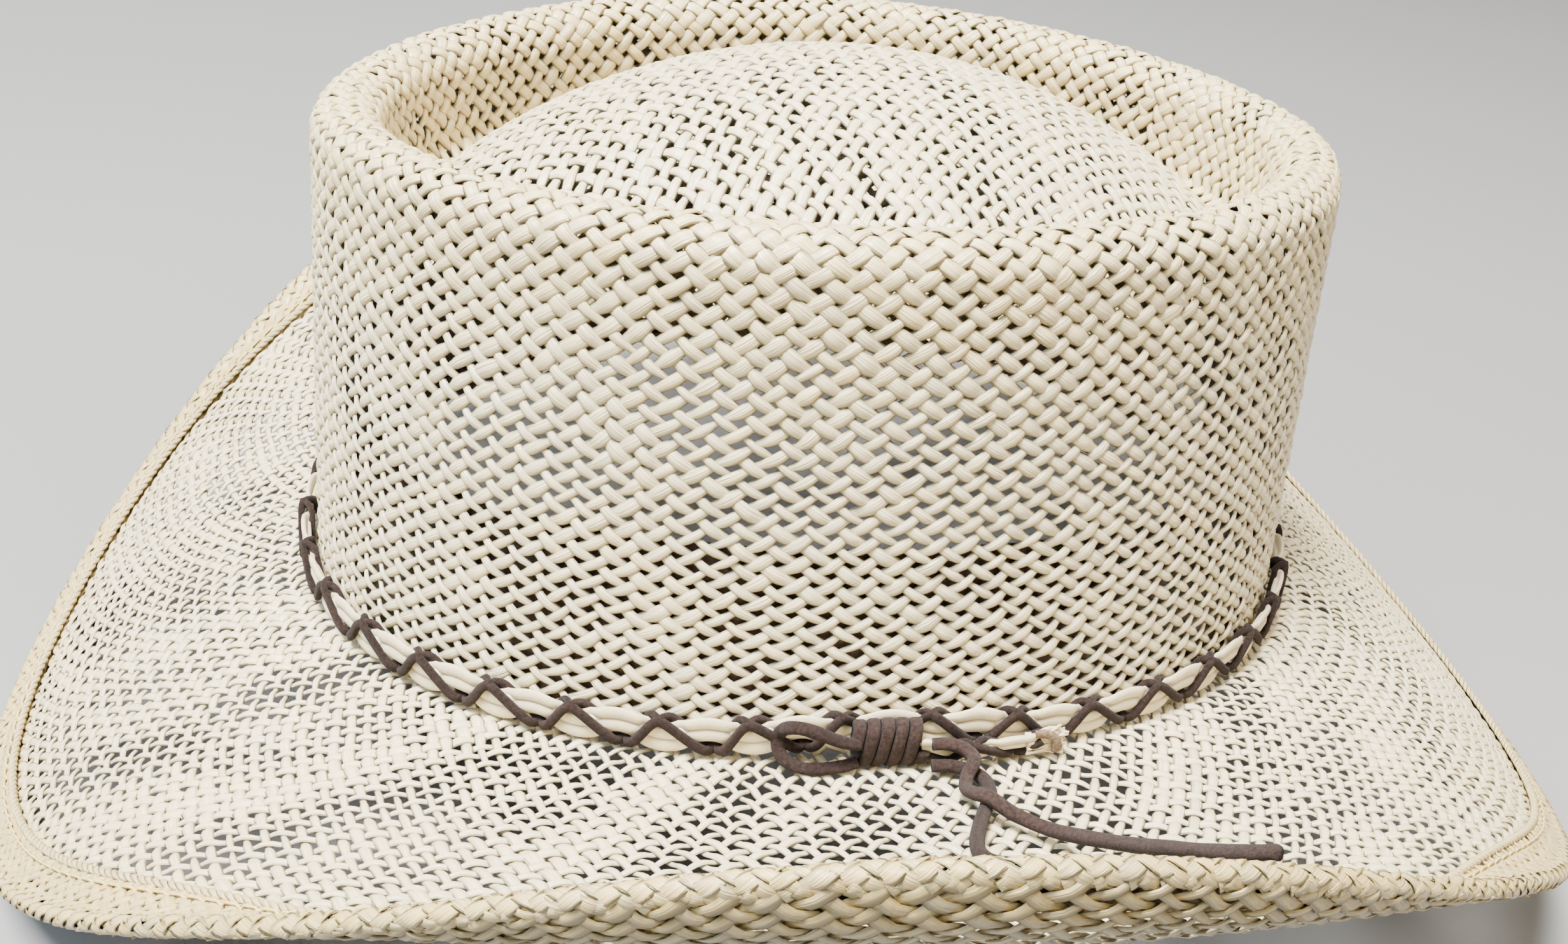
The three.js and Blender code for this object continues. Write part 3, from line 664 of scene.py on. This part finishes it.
def build_dome_weave():
    """The dome's own grid of two crossing families, which turns slowly from front to back."""
    first = complex(math.cos(DOME_ANGLE), math.sin(DOME_ANGLE))
    second = first.conjugate()
    spacing = DOME_PITCH / math.sin(2 * DOME_ANGLE)
    ticks = np.arange(-DOME_REACH * SUB_STEPS, DOME_REACH * SUB_STEPS + 1)
    for family, (cross, run_way) in enumerate(((second, first), (first, second))):
        sheaf = Sheaf()
        for i in range(-DOME_REACH, DOME_REACH + 1):
            sway = wander((1, len(ticks)), 0.20)[0]
            flat = spacing * (i * cross + ticks / SUB_STEPS * run_way) + sway * 1j * run_way
            # the grid's lines turn with X, and it widens towards +Y
            place = np.log(1 + 1j * DOME_TURNING * flat) / (1j * DOME_TURNING)
            inside = (place.real / GUTTER[0]) ** 2 + (place.imag / GUTTER[1]) ** 2 < DOME_EDGE ** 2
            inside &= np.abs(flat) < DOME_GRID_RADIUS
            if inside.sum() < 2 * SUB_STEPS:
                continue
            keep = np.arange(np.argmax(inside), len(inside) - np.argmax(inside[::-1]))
            x, y = place.real[keep], place.imag[keep]
            up = dome_normal(x, y)
            over = (1 if family == 0 else -1) * (-1) ** i * np.cos(math.pi * ticks[keep] / SUB_STEPS)
            height = dome_height(x, y) - STRAW_THICKNESS / 2 + DOME_LIFT * over
            points = np.stack([x, y, height + wander((1, len(keep)), 0.03)[0]], -1)
            slub = 1 + random.normal(0, 0.06) + wander((1, len(keep)), 0.035, (3, 9, 23))[0]
            broad = (DOME_STRAND_WIDTH + DOME_WIDENING * y) * (1 - 0.12 * patches(5)(x / 30, y)) * slub
            broad = broad * (1 + OVER_SWELL * over)
            rings = strand_rings(points, up, broad, DOME_STRAND_THICKNESS)
            noise = random.normal(0, 1) + wander((1, len(keep)), 0.3)[0]
            colours = straw_tint(lambda turn, along: DOME_WARMTH)(x, y, noise)
            # painted shade on the strands' edges, darkest on the side that faces the head
            sheaf.add_tube(rings, colours[:, None, :] * INNER_PAINTED_SHADE[None, :, None],
                           run_length(points) + random.uniform(0, RUN_OFFSETS))
        sheaf.build(f"dome_weave_{family + 1}", STRAW, "hat", "straw", "crown")


BRIM_STRANDS = 176
BRIM_LENGTH = float(BRIM_WALK[:, -1].mean())
BRIM_EDGE_INSET = 1.9       # where the weave stops short of the edge, inside the hem


def build_brim_weave():
    """The brim, whose last tenth lies beneath the hem and is wider, warmer straw."""
    ring = lambda part: lerp(580, 1028, part)
    levels = level_positions(BRIM_LENGTH, ring, BRIM_STRANDS, lambda part: lerp(2.75, 3.1, part))
    end = 1 - BRIM_EDGE_INSET / BRIM_LENGTH
    weave_surface(
        "brim_weave", "straw", "brim", STRAW,
        stops=np.array([0, 0.6, 0.87, 0.92, 1.0]) * BRIM_LENGTH,
        widths=[1.75, 1.90, 1.97, 2.60, 2.75], warmths=[0.05, 0.10, 0.28, 1.0, 1.0],
        surface=lambda turn, along: brim_at(turn, along / BRIM_LENGTH * end), levels=levels,
        count=BRIM_STRANDS, thickness=0.72, lift=0.36, middle=0.0, flip=True, loose=0.20)


HEM_STRANDS = 250
HEM_LENGTH_ROUND = 1025
WIRE_INSET = 1.65           # from the brim's edge to the middle of the roll
LEG_HEIGHT = HEM_ROLL + 0.15
# The straw's way through the hem: distance in from the brim's edge, and height above the brim.
HEM_SECTION = smooth_route(
    [(3.4, 0.0, 0)]
    + [(WIRE_INSET + HEM_ROLL * math.sin(a), HEM_ROLL - HEM_ROLL * math.cos(a), 0)
       for a in np.radians(np.arange(0, -181, -30))]
    + [(3.2, 1.95, 0)]
    + [(inset, LEG_HEIGHT, 0) for inset in (HEM_LEG_START, 7.0, HEM_WIDTH + 0.3)], 120)
HEM_RUN = run_length(HEM_SECTION)


def hem_point(turn, along):
    """The middle of the straw that is rolled over the wire and laid back on the brim."""
    inset, height = (np.interp(along, HEM_RUN, HEM_SECTION[:, i]) for i in (0, 1))
    return near_edge(turn, inset, height)


def build_hem_weave():
    length = float(HEM_RUN[-1])
    levels = level_positions(length, lambda part: HEM_LENGTH_ROUND, HEM_STRANDS, lambda part: 2.25)
    weave_surface(
        "hem_weave", "hem_straw", "brim_hem_fold", HEM_STRAW, stops=[0, length],
        widths=[2.3, 2.3], warmths=[0.92, 0.92], surface=hem_point, levels=levels,
        count=HEM_STRANDS, thickness=0.52, lift=0.19, middle=0.0, flip=False, loose=0.05)


def even_turns(line, steps):
    """Turns at even distances round a closed line of turn."""
    turns = np.linspace(0, TAU, 1441)
    run = run_length(line(turns))
    return np.interp(np.linspace(0, run[-1], steps, endpoint=False), run, turns), float(run[-1])


ROUND = np.array([(0.5 * math.cos(a), 0.5 * math.sin(a)) for a in np.radians(np.arange(0, 360, 45))])
RIDGE_INSET, RIDGE_HEIGHT = 10.6, 1.65
RIDGE_LAY = 4.2             # along the cord for one twist
RIDGE_PLY_OUT = 0.38


def build_ridge_cord():
    """Two twisted plies laid against the inner edge of the fold."""
    sheaf = Sheaf()
    turns, length = even_turns(lambda turn: near_edge(turn, RIDGE_INSET, RIDGE_HEIGHT), 2600)
    centre = near_edge(turns, RIDGE_INSET, RIDGE_HEIGHT)
    inward = unit(centre - near_edge(turns, RIDGE_INSET - 0.7, RIDGE_HEIGHT))
    up = unit(near_edge(turns, RIDGE_INSET, RIDGE_HEIGHT + 0.4) - centre)
    twists = round(length / RIDGE_LAY)
    phase = TAU * twists * np.arange(len(turns)) / len(turns)
    for ply in (0, math.pi):
        angle = (phase + ply)[:, None]
        way = inward * np.cos(angle) + up * np.sin(angle)
        points = centre + RIDGE_PLY_OUT * way
        noise = random.normal(0, 1) + wander((1, len(turns)), 0.35, (40, 90, 333))[0]
        rings = strand_rings(points, way, 1.15, 0.85, closed=True)
        sheaf.add_tube(rings, straw_tint(lambda t, a: 0.5)(turns, turns, noise),
                       TAU * np.arange(len(turns)) / 6, closed=True)
    sheaf.build("hem_ridge", HEM_STRAW, "hat", "hem_straw", "hem_ridge_cord")


STITCH_STEPS = 10
STITCH_SHOWS = 0.35         # cosine at which the thread dips out of sight


def running_stitches(name, line, pitch, dip, thickness, material, slot, node, tint, dips_along):
    """A thread that shows for most of each stitch and dips into the piece between them."""
    steps = STITCH_STEPS * round(even_turns(line, 1)[1] / pitch)
    turns, length = even_turns(line, steps)
    depth = dip * np.clip(np.cos(TAU * np.arange(steps) / STITCH_STEPS) - STITCH_SHOWS, 0, None)
    points = line(turns) + dips_along(turns) * depth[:, None]
    rings = strand_rings(points, -dips_along(turns), 2 * thickness, 2 * thickness, closed=True)
    build_tube(rings, tint, length * np.arange(steps) / steps, True, name, material, "hat", slot, node)


# ---- Hatband ----
BAND_LEVEL = 4.5
BAND_KNOT_RISE = 1.9
BAND_OUT = 2.1
BAND_KNOT_TUCK = 0.9
PLAIT_REPEATS = 38
PLAIT_LEAN = 0.30
STRAP_WIDTH, STRAP_DEPTH = 4.5, 0.95
STRAP_SWAY, STRAP_OFFSET, STRAP_LAYER = 0.80, 0.75, 0.42
STRAP_SWELL, STRAP_LAG = 0.17, math.radians(10)
LACE_WIDTH, LACE_DEPTH = 1.75, 1.25
LACE_SWAY, LACE_LAYER = 2.95, 1.15
LACE_LAG = math.radians(22)
# Outline of a cream strap, with a crease down its outer face.
STRAP_OUTLINE = np.array([
    (-0.5, 0.0), (-0.45, 0.30), (-0.30, 0.5), (-0.12, 0.42), (-0.04, 0.20), (0.0, -0.02), (0.04, 0.20),
    (0.12, 0.42), (0.30, 0.5), (0.45, 0.30), (0.5, 0.0), (0.4, -0.45), (0.0, -0.5), (-0.4, -0.45)])
# Painted shade round the strap's outline: darker at its edges and beneath, darkest in the crease.
STRAP_PAINTED_SHADE = np.array([0.75, 0.95, 1.0, 0.97, 0.80, 0.50, 0.80, 0.97, 1.0, 0.95, 0.75, 0.8, 0.8, 0.8])
LACE_OUTLINE = np.array([
    (-0.5, 0.0), (-0.45, 0.33), (-0.25, 0.49), (0.25, 0.49), (0.45, 0.33), (0.5, 0.0),
    (0.45, -0.33), (0.25, -0.49), (-0.25, -0.49), (-0.45, -0.33)])
# Painted shade round the lace's outline: its top face lightest, its edges and underside darker.
LACE_PAINTED_SHADE = np.array([0.8, 0.95, 1.0, 1.0, 0.95, 0.8, 0.8, 0.8, 0.8, 0.8])
LACE_NOISE = 0.10
BAND_WAVES = (30, 70, 160)  # wavelengths of the changes along its strands, as in wander


def smoothstep(value, start, end):
    share = np.clip((value - start) / (end - start), 0, 1)
    return share * share * (3 - 2 * share)


def near_knot(turn, start, end):
    """1 at the knot and 0 away from it, by distance along X on the knot's side."""
    turn = np.asarray(turn, float)
    return np.where(np.sin(turn) < 0, 1 - smoothstep(np.abs(CROWN_BASE[0] * np.cos(turn)), start, end), 0.0)


def band_centre(turn):
    rise = near_knot(turn, 10, 34)
    tuck = near_knot(turn, 6, 12)
    return beside_wall(turn, BAND_LEVEL + BAND_KNOT_RISE * rise, BAND_OUT - BAND_KNOT_TUCK * tuck)


def outward(turn):
    return unit(beside_wall(turn, 5, 2) - beside_wall(turn, 5, 0))


def layered(wave):
    """A wave that changes quickly between its two levels."""
    return np.tanh(2.6 * wave) / np.tanh(2.6)


def plait_strands(centre, phase, across, out, size, depth):
    """Centre lines of two straps and two laces. The laces zigzag between the band's edges, one
    seen on the way down and the other on the way up, and the straps show in turn above and below."""
    lines = []
    for sign in (-1, 1):
        wave = sign * np.cos(phase - STRAP_LAG)
        lateral = -sign * STRAP_OFFSET - sign * STRAP_SWAY * wave
        lines.append(centre + across * (size * lateral)[:, None]
                     + out * (depth * STRAP_LAYER * layered(wave))[:, None])
    for sign, lag in ((1, 0.0), (-1, LACE_LAG)):
        swing = phase - lag + PLAIT_LEAN * np.cos(phase - lag)
        level = np.where(sign * np.sin(swing) > 0, LACE_LAYER, LACE_LAYER * 0.85)
        lines.append(centre + across * (size * LACE_SWAY * np.cos(swing))[:, None]
                     + out * (depth * level * layered(sign * np.sin(swing) + 0.12))[:, None])
    return lines


def strap_tint(steps, base, shades, noise_scale=0.04):
    noise = 1 + noise_scale * (random.normal(0, 1) + wander((1, steps), 0.5, BAND_WAVES)[0])
    # the shades are painted shade round the outline
    return base[None, None, :] * shades[None, :, None] * noise[:, None, None]


def lace_tint(steps, shades=LACE_PAINTED_SHADE):
    return strap_tint(steps, SUEDE, shades, LACE_NOISE)


def build_plait():
    steps = 2280
    turns, length = even_turns(band_centre, steps)
    centre = band_centre(turns)
    out = outward(turns)
    along = unit(np.roll(centre, -1, 0) - np.roll(centre, 1, 0))
    across = unit(np.cross(out, along))
    phase = TAU * PLAIT_REPEATS * np.arange(steps) / steps
    squeeze = near_knot(turns, 5.5, 9)
    run = length * np.arange(steps) / steps
    lines = plait_strands(centre, phase, across, out, 1 - 0.1 * squeeze, 1 - 0.6 * squeeze)
    for points, sign, name, node in ((lines[0], -1, "plait_strap_upper", "cream_strap_upper"),
                                     (lines[1], 1, "plait_strap_lower", "cream_strap_lower")):
        swell = 1 + STRAP_SWELL * sign * np.cos(phase - STRAP_LAG)
        broad = STRAP_WIDTH * swell * (1 + wander((1, steps), 0.02, BAND_WAVES)[0])
        rings = strand_rings(points, out, broad, STRAP_DEPTH, STRAP_OUTLINE, closed=True)
        build_tube(rings, strap_tint(steps, CREAM_LEATHER, STRAP_PAINTED_SHADE), run, True,
                   name, *STRAP_PIECE, node)
    sheaf = Sheaf()
    for points in lines[2:]:
        broad = LACE_WIDTH * (1 + wander((1, steps), 0.035, (20, 50, 130))[0])
        thick = LACE_DEPTH * (1 - 0.4 * squeeze)
        rings = strand_rings(points, out, broad, thick, LACE_OUTLINE, closed=True)
        sheaf.add_tube(rings, lace_tint(steps), run, closed=True)
    sheaf.build("plait_lace", *LACE_PIECE, "brown_lace")


WRAP_TURNS = 5
WRAP_PITCH = 3.0
WRAP_CENTRE = (0.0, -84.75, 8.0)
WRAP_HALF_HEIGHT = 3.75
WRAP_HALF_DEPTH = 1.95
WRAP_INSET = 1.32           # of the lace's middle from each end of the wrap
WRAP_LEAN = 0.30            # along X, right at the top of a turn and left at its bottom
WRAP_BULGE = 0.05           # share by which the middle turns are larger
WRAP_LACE = 2.4, 1.6
# Painted shade: each turn is dark where it meets the next and on its inner side, lightest on its outer
# face.
WRAP_PAINTED_SHADE = np.array([0.25, 0.9, 1.15, 1.15, 0.9, 0.25, 0.2, 0.2, 0.2, 0.2])


def flattened(wave):
    """A sine that stays longer near its ends, which makes a circle into a rounded square."""
    return np.sign(wave) * np.abs(wave) ** 0.8


def build_wrap():
    """The lace wound five times round the plait."""
    steps = WRAP_TURNS * 44
    angle = np.linspace(0.15, TAU * WRAP_TURNS - 0.15, steps)
    end = WRAP_TURNS * WRAP_PITCH / 2 - WRAP_INSET
    x = lerp(-end, end, (angle - angle[0]) / (angle[-1] - angle[0])) + WRAP_LEAN * np.sin(angle)
    bulge = 1 + WRAP_BULGE * np.sin(TAU * (x + end) / (end + end) * 0.5)
    around_y, around_z = -flattened(np.cos(angle)), flattened(np.sin(angle))
    points = np.stack([
        WRAP_CENTRE[0] + x,
        WRAP_CENTRE[1] + WRAP_HALF_DEPTH * bulge * around_y,
        WRAP_CENTRE[2] + WRAP_HALF_HEIGHT * bulge * around_z], -1)
    up = unit(np.stack([np.zeros(steps), around_y / WRAP_HALF_DEPTH, around_z / WRAP_HALF_HEIGHT], -1))
    broad = WRAP_LACE[0] * (1 + wander((1, steps), 0.02, (4, 9, 21))[0])
    rings = strand_rings(points, up, broad, WRAP_LACE[1], LACE_OUTLINE)
    build_tube(rings, lace_tint(steps, WRAP_PAINTED_SHADE), run_length(points), False,
               "wrap_turns", *LACE_PIECE, "wrap_coil")


# Routes of the lace beside the wrap, in millimetres: x, y, height above the crown's foot plane.
LOOP_ROUTE = [
    (-5.6, -87.0, 9.6), (-7.6, -87.4, 10.3), (-10.0, -87.4, 11.2), (-13.0, -86.9, 12.4),
    (-15.4, -86.2, 12.9), (-17.4, -85.2, 12.4), (-18.4, -83.6, 10.6), (-18.9, -83.0, 8.6),
    (-18.9, -84.0, 6.6), (-17.8, -85.6, 5.4), (-15.4, -86.7, 4.7), (-12.4, -87.2, 4.6),
    (-9.4, -87.4, 5.0), (-7.4, -87.3, 5.3), (-5.6, -87.0, 5.6)]
LONG_TAIL_ROUTE = [
    (7.1, -87.9, 9.8), (9.6, -88.0, 9.8), (12.0, -88.7, 9.5), (13.5, -90.4, 9.1), (13.3, -92.2, 9.1),
    (11.8, -94.3, 8.1), (10.9, -97.2, 8.0), (11.2, -100.4, 9.9), (12.8, -103.6, 11.7),
    (15.8, -107.2, 11.4), (20.3, -111.6, 12.0), (23.6, -118.0, 16.2), (27.1, -127.0, 23.2),
    (29.3, -132.9, 28.3), (31.3, -138.9, 33.5), (33.4, -144.4, 38.6), (35.4, -148.0, 42.2)]
SHORT_TAIL_ROUTE = [
    (7.1, -89.4, 6.2), (9.6, -89.5, 6.2), (11.6, -90.1, 6.2), (13.9, -91.9, 6.4), (15.1, -94.6, 7.0),
    (14.7, -98.6, 7.9), (13.0, -102.3, 8.8), (10.4, -107.4, 10.1), (8.2, -112.6, 11.7),
    (7.3, -116.4, 12.9), (7.8, -119.2, 13.8), (9.4, -121.0, 14.6)]
LACE_DIAMETER = 2.2
LACE_FACING = np.array((0.12, -0.62, 0.78))


def build_lace(name, route, node, wide, thick, steps):
    """A length of suede lace along a route. Its flat faces turn slowly, as a cut lace's do."""
    points = smooth_route(route, steps)
    along = unit(np.gradient(points, axis=0))
    up = LACE_FACING - along * (along @ LACE_FACING)[:, None]
    swell = 1 + wander((1, steps), 0.02, (5, 11, 29))[0]
    rings = strand_rings(points, up, wide * swell, thick, LACE_OUTLINE)
    lace = build_tube(rings, lace_tint(steps), run_length(points), False, name, *LACE_PIECE, node)
    return lace, points


def build_tails():
    for name, route, node, steps in (("tail_long", LONG_TAIL_ROUTE, "long_tail", 170),
                                     ("tail_short", SHORT_TAIL_ROUTE, "short_tail", 80)):
        tail, points = build_lace(name, route, node, LACE_DIAMETER * 1.04, LACE_DIAMETER * 0.93, steps)


OVERLAP_START, OVERLAP_END = 5.5, 26.5
OVERLAP_PHASE = 2.2
OVERLAP_REPEAT = 14.5
OVERLAP_SIZE, OVERLAP_DEPTH = 0.62, 0.8     # shares of the band's plait
OVERLAP_STRAP_WIDTH = 3.5
OVERLAP_LEAN = 0.35


def turn_at(x):
    """The turn on the knot's side where the crown's foot has this x."""
    return -np.arccos(np.asarray(x, float) / CROWN_BASE[0])


def build_overlap():
    """The plait's loose end, laid outside the band to the right of the wrap, and its frayed tip."""
    steps = 170
    turns = turn_at(np.linspace(OVERLAP_START, OVERLAP_END, steps))
    settle = smoothstep(np.linspace(0, 1, steps), 0.0, 0.25)
    centre = beside_wall(turns, lerp(4.6, 3.9, settle), lerp(4.4, 5.4, settle))
    out = outward(turns)
    along = unit(np.gradient(centre, axis=0))
    across = unit(np.cross(out, along) + OVERLAP_LEAN * out)
    face = unit(np.cross(along, across))
    phase = TAU * run_length(centre) / OVERLAP_REPEAT + OVERLAP_PHASE
    size, depth = np.full(steps, OVERLAP_SIZE), np.full(steps, OVERLAP_DEPTH)
    lines = plait_strands(centre, phase, across, face, size, depth)
    sheaf = Sheaf()
    for points in lines[:2]:
        rings = strand_rings(points, face, OVERLAP_STRAP_WIDTH, STRAP_DEPTH, STRAP_OUTLINE)
        sheaf.add_tube(rings, strap_tint(steps, CREAM_LEATHER, STRAP_PAINTED_SHADE), run_length(points))
    sheaf.build("overlap_straps", *STRAP_PIECE, "band_overlap_end")
    sheaf = Sheaf()
    for points in lines[2:]:
        rings = strand_rings(points, face, LACE_WIDTH, LACE_DEPTH, LACE_OUTLINE)
        sheaf.add_tube(rings, lace_tint(steps), run_length(points))
    sheaf.build("overlap_lace", *LACE_PIECE, "band_overlap_end")
    build_frayed_tip()


FIBRES = 90
# The stub's route: x, height above the crown's foot and distance out from its wall.
STUB_X = (25.2, 26.8, 28.4, 29.1, 29.2)
STUB_LEVELS = np.array((6.2, 6.3, 5.4, 3.8, 2.5))
STUB_OUTS = np.array((6.6, 7.0, 7.3, 7.3, 7.0))
STUB_STEPS = 24


def build_frayed_tip():
    """Cream fibres that spread from the cut end, with a stub of grey-brown lace across them."""
    sheaf = Sheaf()
    for _ in range(FIBRES):
        start_height = random.uniform(2.0, 5.6)
        end_x = OVERLAP_END + random.uniform(2.5, 5.2)
        level = start_height + random.normal(0, 0.8)
        outs = random.uniform(5.0, 6.6, 3)
        xs = np.array([OVERLAP_END - 2.5, lerp(OVERLAP_END, end_x, 0.45), end_x])
        levels = np.array([start_height, lerp(start_height, level, 0.5), max(level, 0.8)])
        corners = beside_wall(turn_at(xs), levels, outs)
        points = smooth_route(corners, 8)
        rings = strand_rings(points, np.array((0.3, -0.9, 0.3)), random.uniform(0.25, 0.7), 0.25)
        sheaf.add_tube(rings, CREAM_LEATHER * random.uniform(0.75, 1.05), run_length(points))
    sheaf.build("frayed_fibres", *STRAP_PIECE, "frayed_end")
    points = smooth_route(beside_wall(turn_at(STUB_X), STUB_LEVELS, STUB_OUTS), STUB_STEPS)
    broad = np.linspace(1.5, 1.9, STUB_STEPS)
    rings = strand_rings(points, outward(turn_at(29))[None, :], broad, 1.0, LACE_OUTLINE)
    tint = strap_tint(STUB_STEPS, FRAYED_BROWN, np.ones(len(LACE_OUTLINE)), 0.15)
    build_tube(rings, tint, run_length(points), False, "frayed_stub", *LACE_PIECE, "frayed_end")


# ---- Inside the crown ----
SWEATBAND_GAP = 0.006       # turn from the back to each end of the strip
SWEATBAND_SEAT = -1.7       # the strip's outer face, from the crown's wall
SWEATBAND_OUTLINE = np.array([
    (-0.5, -0.35), (-0.5, 0.35), (-0.485, 0.5), (-0.2, 0.5), (0.2, 0.5), (0.485, 0.5),
    (0.5, 0.35), (0.5, -0.35), (0.485, -0.5), (0.2, -0.5), (-0.2, -0.5), (-0.485, -0.5)])


def strip_rings(low, high, out, thickness):
    """Rings of a strip between two edges, that faces out."""
    share = SWEATBAND_OUTLINE[:, 0][None, :, None] + 0.5
    return (low[:, None, :] * (1 - share) + high[:, None, :] * share
            + out[:, None, :] * (SWEATBAND_OUTLINE[:, 1] * thickness)[None, :, None])[:, ::-1]


def build_sweatband():
    """A strip of leather round the inside, whose ends meet at the back. Its free top edge leans a
    little towards the head and waves."""
    steps = 420
    turns = np.linspace(SWEATBAND_GAP, TAU - SWEATBAND_GAP, steps)
    middle = SWEATBAND_FOOT + SWEATBAND_HEIGHT / 2
    depth = SWEATBAND_SEAT - SWEATBAND_THICKNESS / 2
    sway = 0.12 * np.sin(23 * turns) + 0.10 * np.sin(37 * turns + 1)
    centre = beside_wall(turns, middle, depth)
    low = beside_wall(turns, SWEATBAND_FOOT, depth)
    high = beside_wall(turns, SWEATBAND_FOOT + SWEATBAND_HEIGHT, depth - 0.25 + sway)
    rings = strip_rings(low, high, outward(turns), SWEATBAND_THICKNESS * 0.9)
    build_tube(rings, SWEAT_LEATHER, run_length(centre), False,
               "sweatband_leather", SWEAT, "hat", "sweat_leather", "sweatband")


REED_STEPS = 900
REED_WIDTH = 2.15
REED_RIPPLES = 220          # of its leather cover, round the hat


def reed_line(turn):
    return beside_wall(turn, 1.8, -2.8)


def build_reed():
    """The reed in its leather cover, along the sweatband's lower edge."""
    turns, length = even_turns(reed_line, REED_STEPS)
    share = np.arange(REED_STEPS) / REED_STEPS
    broad = REED_WIDTH * (1 + 0.03 * np.sin(TAU * REED_RIPPLES * share))
    rings = strand_rings(reed_line(turns), outward(turns), broad, broad, ROUND, closed=True)
    build_tube(rings, SWEAT_LEATHER * 1.25, length * share, True,
               "sweatband_piping", SWEAT, "hat", "reed", "sweatband_reed")


BOW_CENTRE = (97.15, 0.0, 13.0)
BOW_HALF_WIDTH, BOW_HALF_HEIGHT = 7.4, 1.7
BOW_FOLD_X = 97.1           # of the knot and of the tails' ends


def build_bow():
    """A small flat bow where the sweatband's ends meet."""
    sheaf = Sheaf()
    face = np.array((-1.0, 0.0, 0.0))
    s = np.linspace(0, TAU, 72, endpoint=False)
    loops = np.stack([BOW_CENTRE[0] + 0.16 * np.cos(s), BOW_HALF_WIDTH * np.sin(s),
                      BOW_CENTRE[2] + BOW_HALF_HEIGHT * np.sin(2 * s)], -1)
    rings = strand_rings(loops, face, 2.0, 0.28, closed=True)
    sheaf.add_tube(rings, RIBBON, run_length(loops), closed=True)
    for side in (-1, 1):
        tail = smooth_route([(97.0, 0.0, BOW_CENTRE[2]), (BOW_FOLD_X, side * 2.4, 11.6),
                             (BOW_FOLD_X, side * 4.6, 10.1)], 14)
        sheaf.add_tube(strand_rings(tail, face, 1.9, 0.25), RIBBON * 0.95, run_length(tail))
    a = np.linspace(0, TAU, 20, endpoint=False)
    knot = np.stack([BOW_FOLD_X + 0.45 * np.cos(a), np.zeros(20), BOW_CENTRE[2] + 1.2 * np.sin(a)], -1)
    up = np.stack([np.cos(a), np.zeros(20), np.sin(a)], -1)
    rings = strand_rings(knot, up, 1.9, 0.25, closed=True)
    sheaf.add_tube(rings, RIBBON * 1.05, run_length(knot), closed=True)
    sheaf.build("sweatband_ribbon", BOW, "hat", "ribbon", "sweatband_bow")


TAB_TURNS = 0.21, 0.45
TAB_LEVELS = 12.5, 23.5
TAB_THICKNESS = 0.36


def build_size_tab():
    """A blank woven tab with clipped corners, sewn to the inside of the sweatband."""
    steps = 40
    turns = np.linspace(*TAB_TURNS, steps)
    depth = SWEATBAND_SEAT - SWEATBAND_THICKNESS - GAP - 0.2
    corner = 1 - 0.07 * np.clip(np.abs(np.linspace(-1, 1, steps)) - 0.9, 0, 1) / 0.1
    low, high = (beside_wall(turns, level, depth) for level in TAB_LEVELS)
    middle = (low + high) / 2
    half = (high - low) / 2 * corner[:, None]
    rings = strip_rings(middle - half, middle + half, outward(turns), TAB_THICKNESS)
    build_tube(rings, LABEL, run_length(middle), False, "blank_tab", TAB, "hat", "label", "size_tab")


HEM_STITCH_INSET = 8.5


def hem_stitch_line(turn, height=2.05):
    return near_edge(turn, HEM_STITCH_INSET, height)


def down_into_hem(turn):
    return -unit(hem_stitch_line(turn, 2.4) - hem_stitch_line(turn, 2.0))


def sweatband_stitch_line(turn):
    return beside_wall(turn, 7.2, -2.9)


# ---- The scene ----
add_camera()
add_stage()
build_tails()
build_lace("side_loop", LOOP_ROUTE, "lace_loop", 2.3, 1.7, 110)
build_plait()
build_wrap()
build_overlap()
build_crown_weave()
build_dome_weave()
build_brim_weave()
build_hem_weave()
build_ridge_cord()
running_stitches(
    "hem_stitches", hem_stitch_line, pitch=4.6, dip=0.9, thickness=0.25, material=HEM_THREAD,
    slot="hem_thread", node="hem_thread", tint=WARM_STRAW * 1.05, dips_along=down_into_hem)
build_sweatband()
build_reed()
running_stitches(
    "sweatband_stitches", sweatband_stitch_line, pitch=3.2, dip=0.9, thickness=0.22, material=THREAD,
    slot="dark_thread", node="sweatband_thread", tint=DARK_THREAD, dips_along=outward)
build_bow()
build_size_tab()
wire_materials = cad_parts["brim_wire"].data.materials
wire_materials.clear()
wire_materials.append(steel_material())
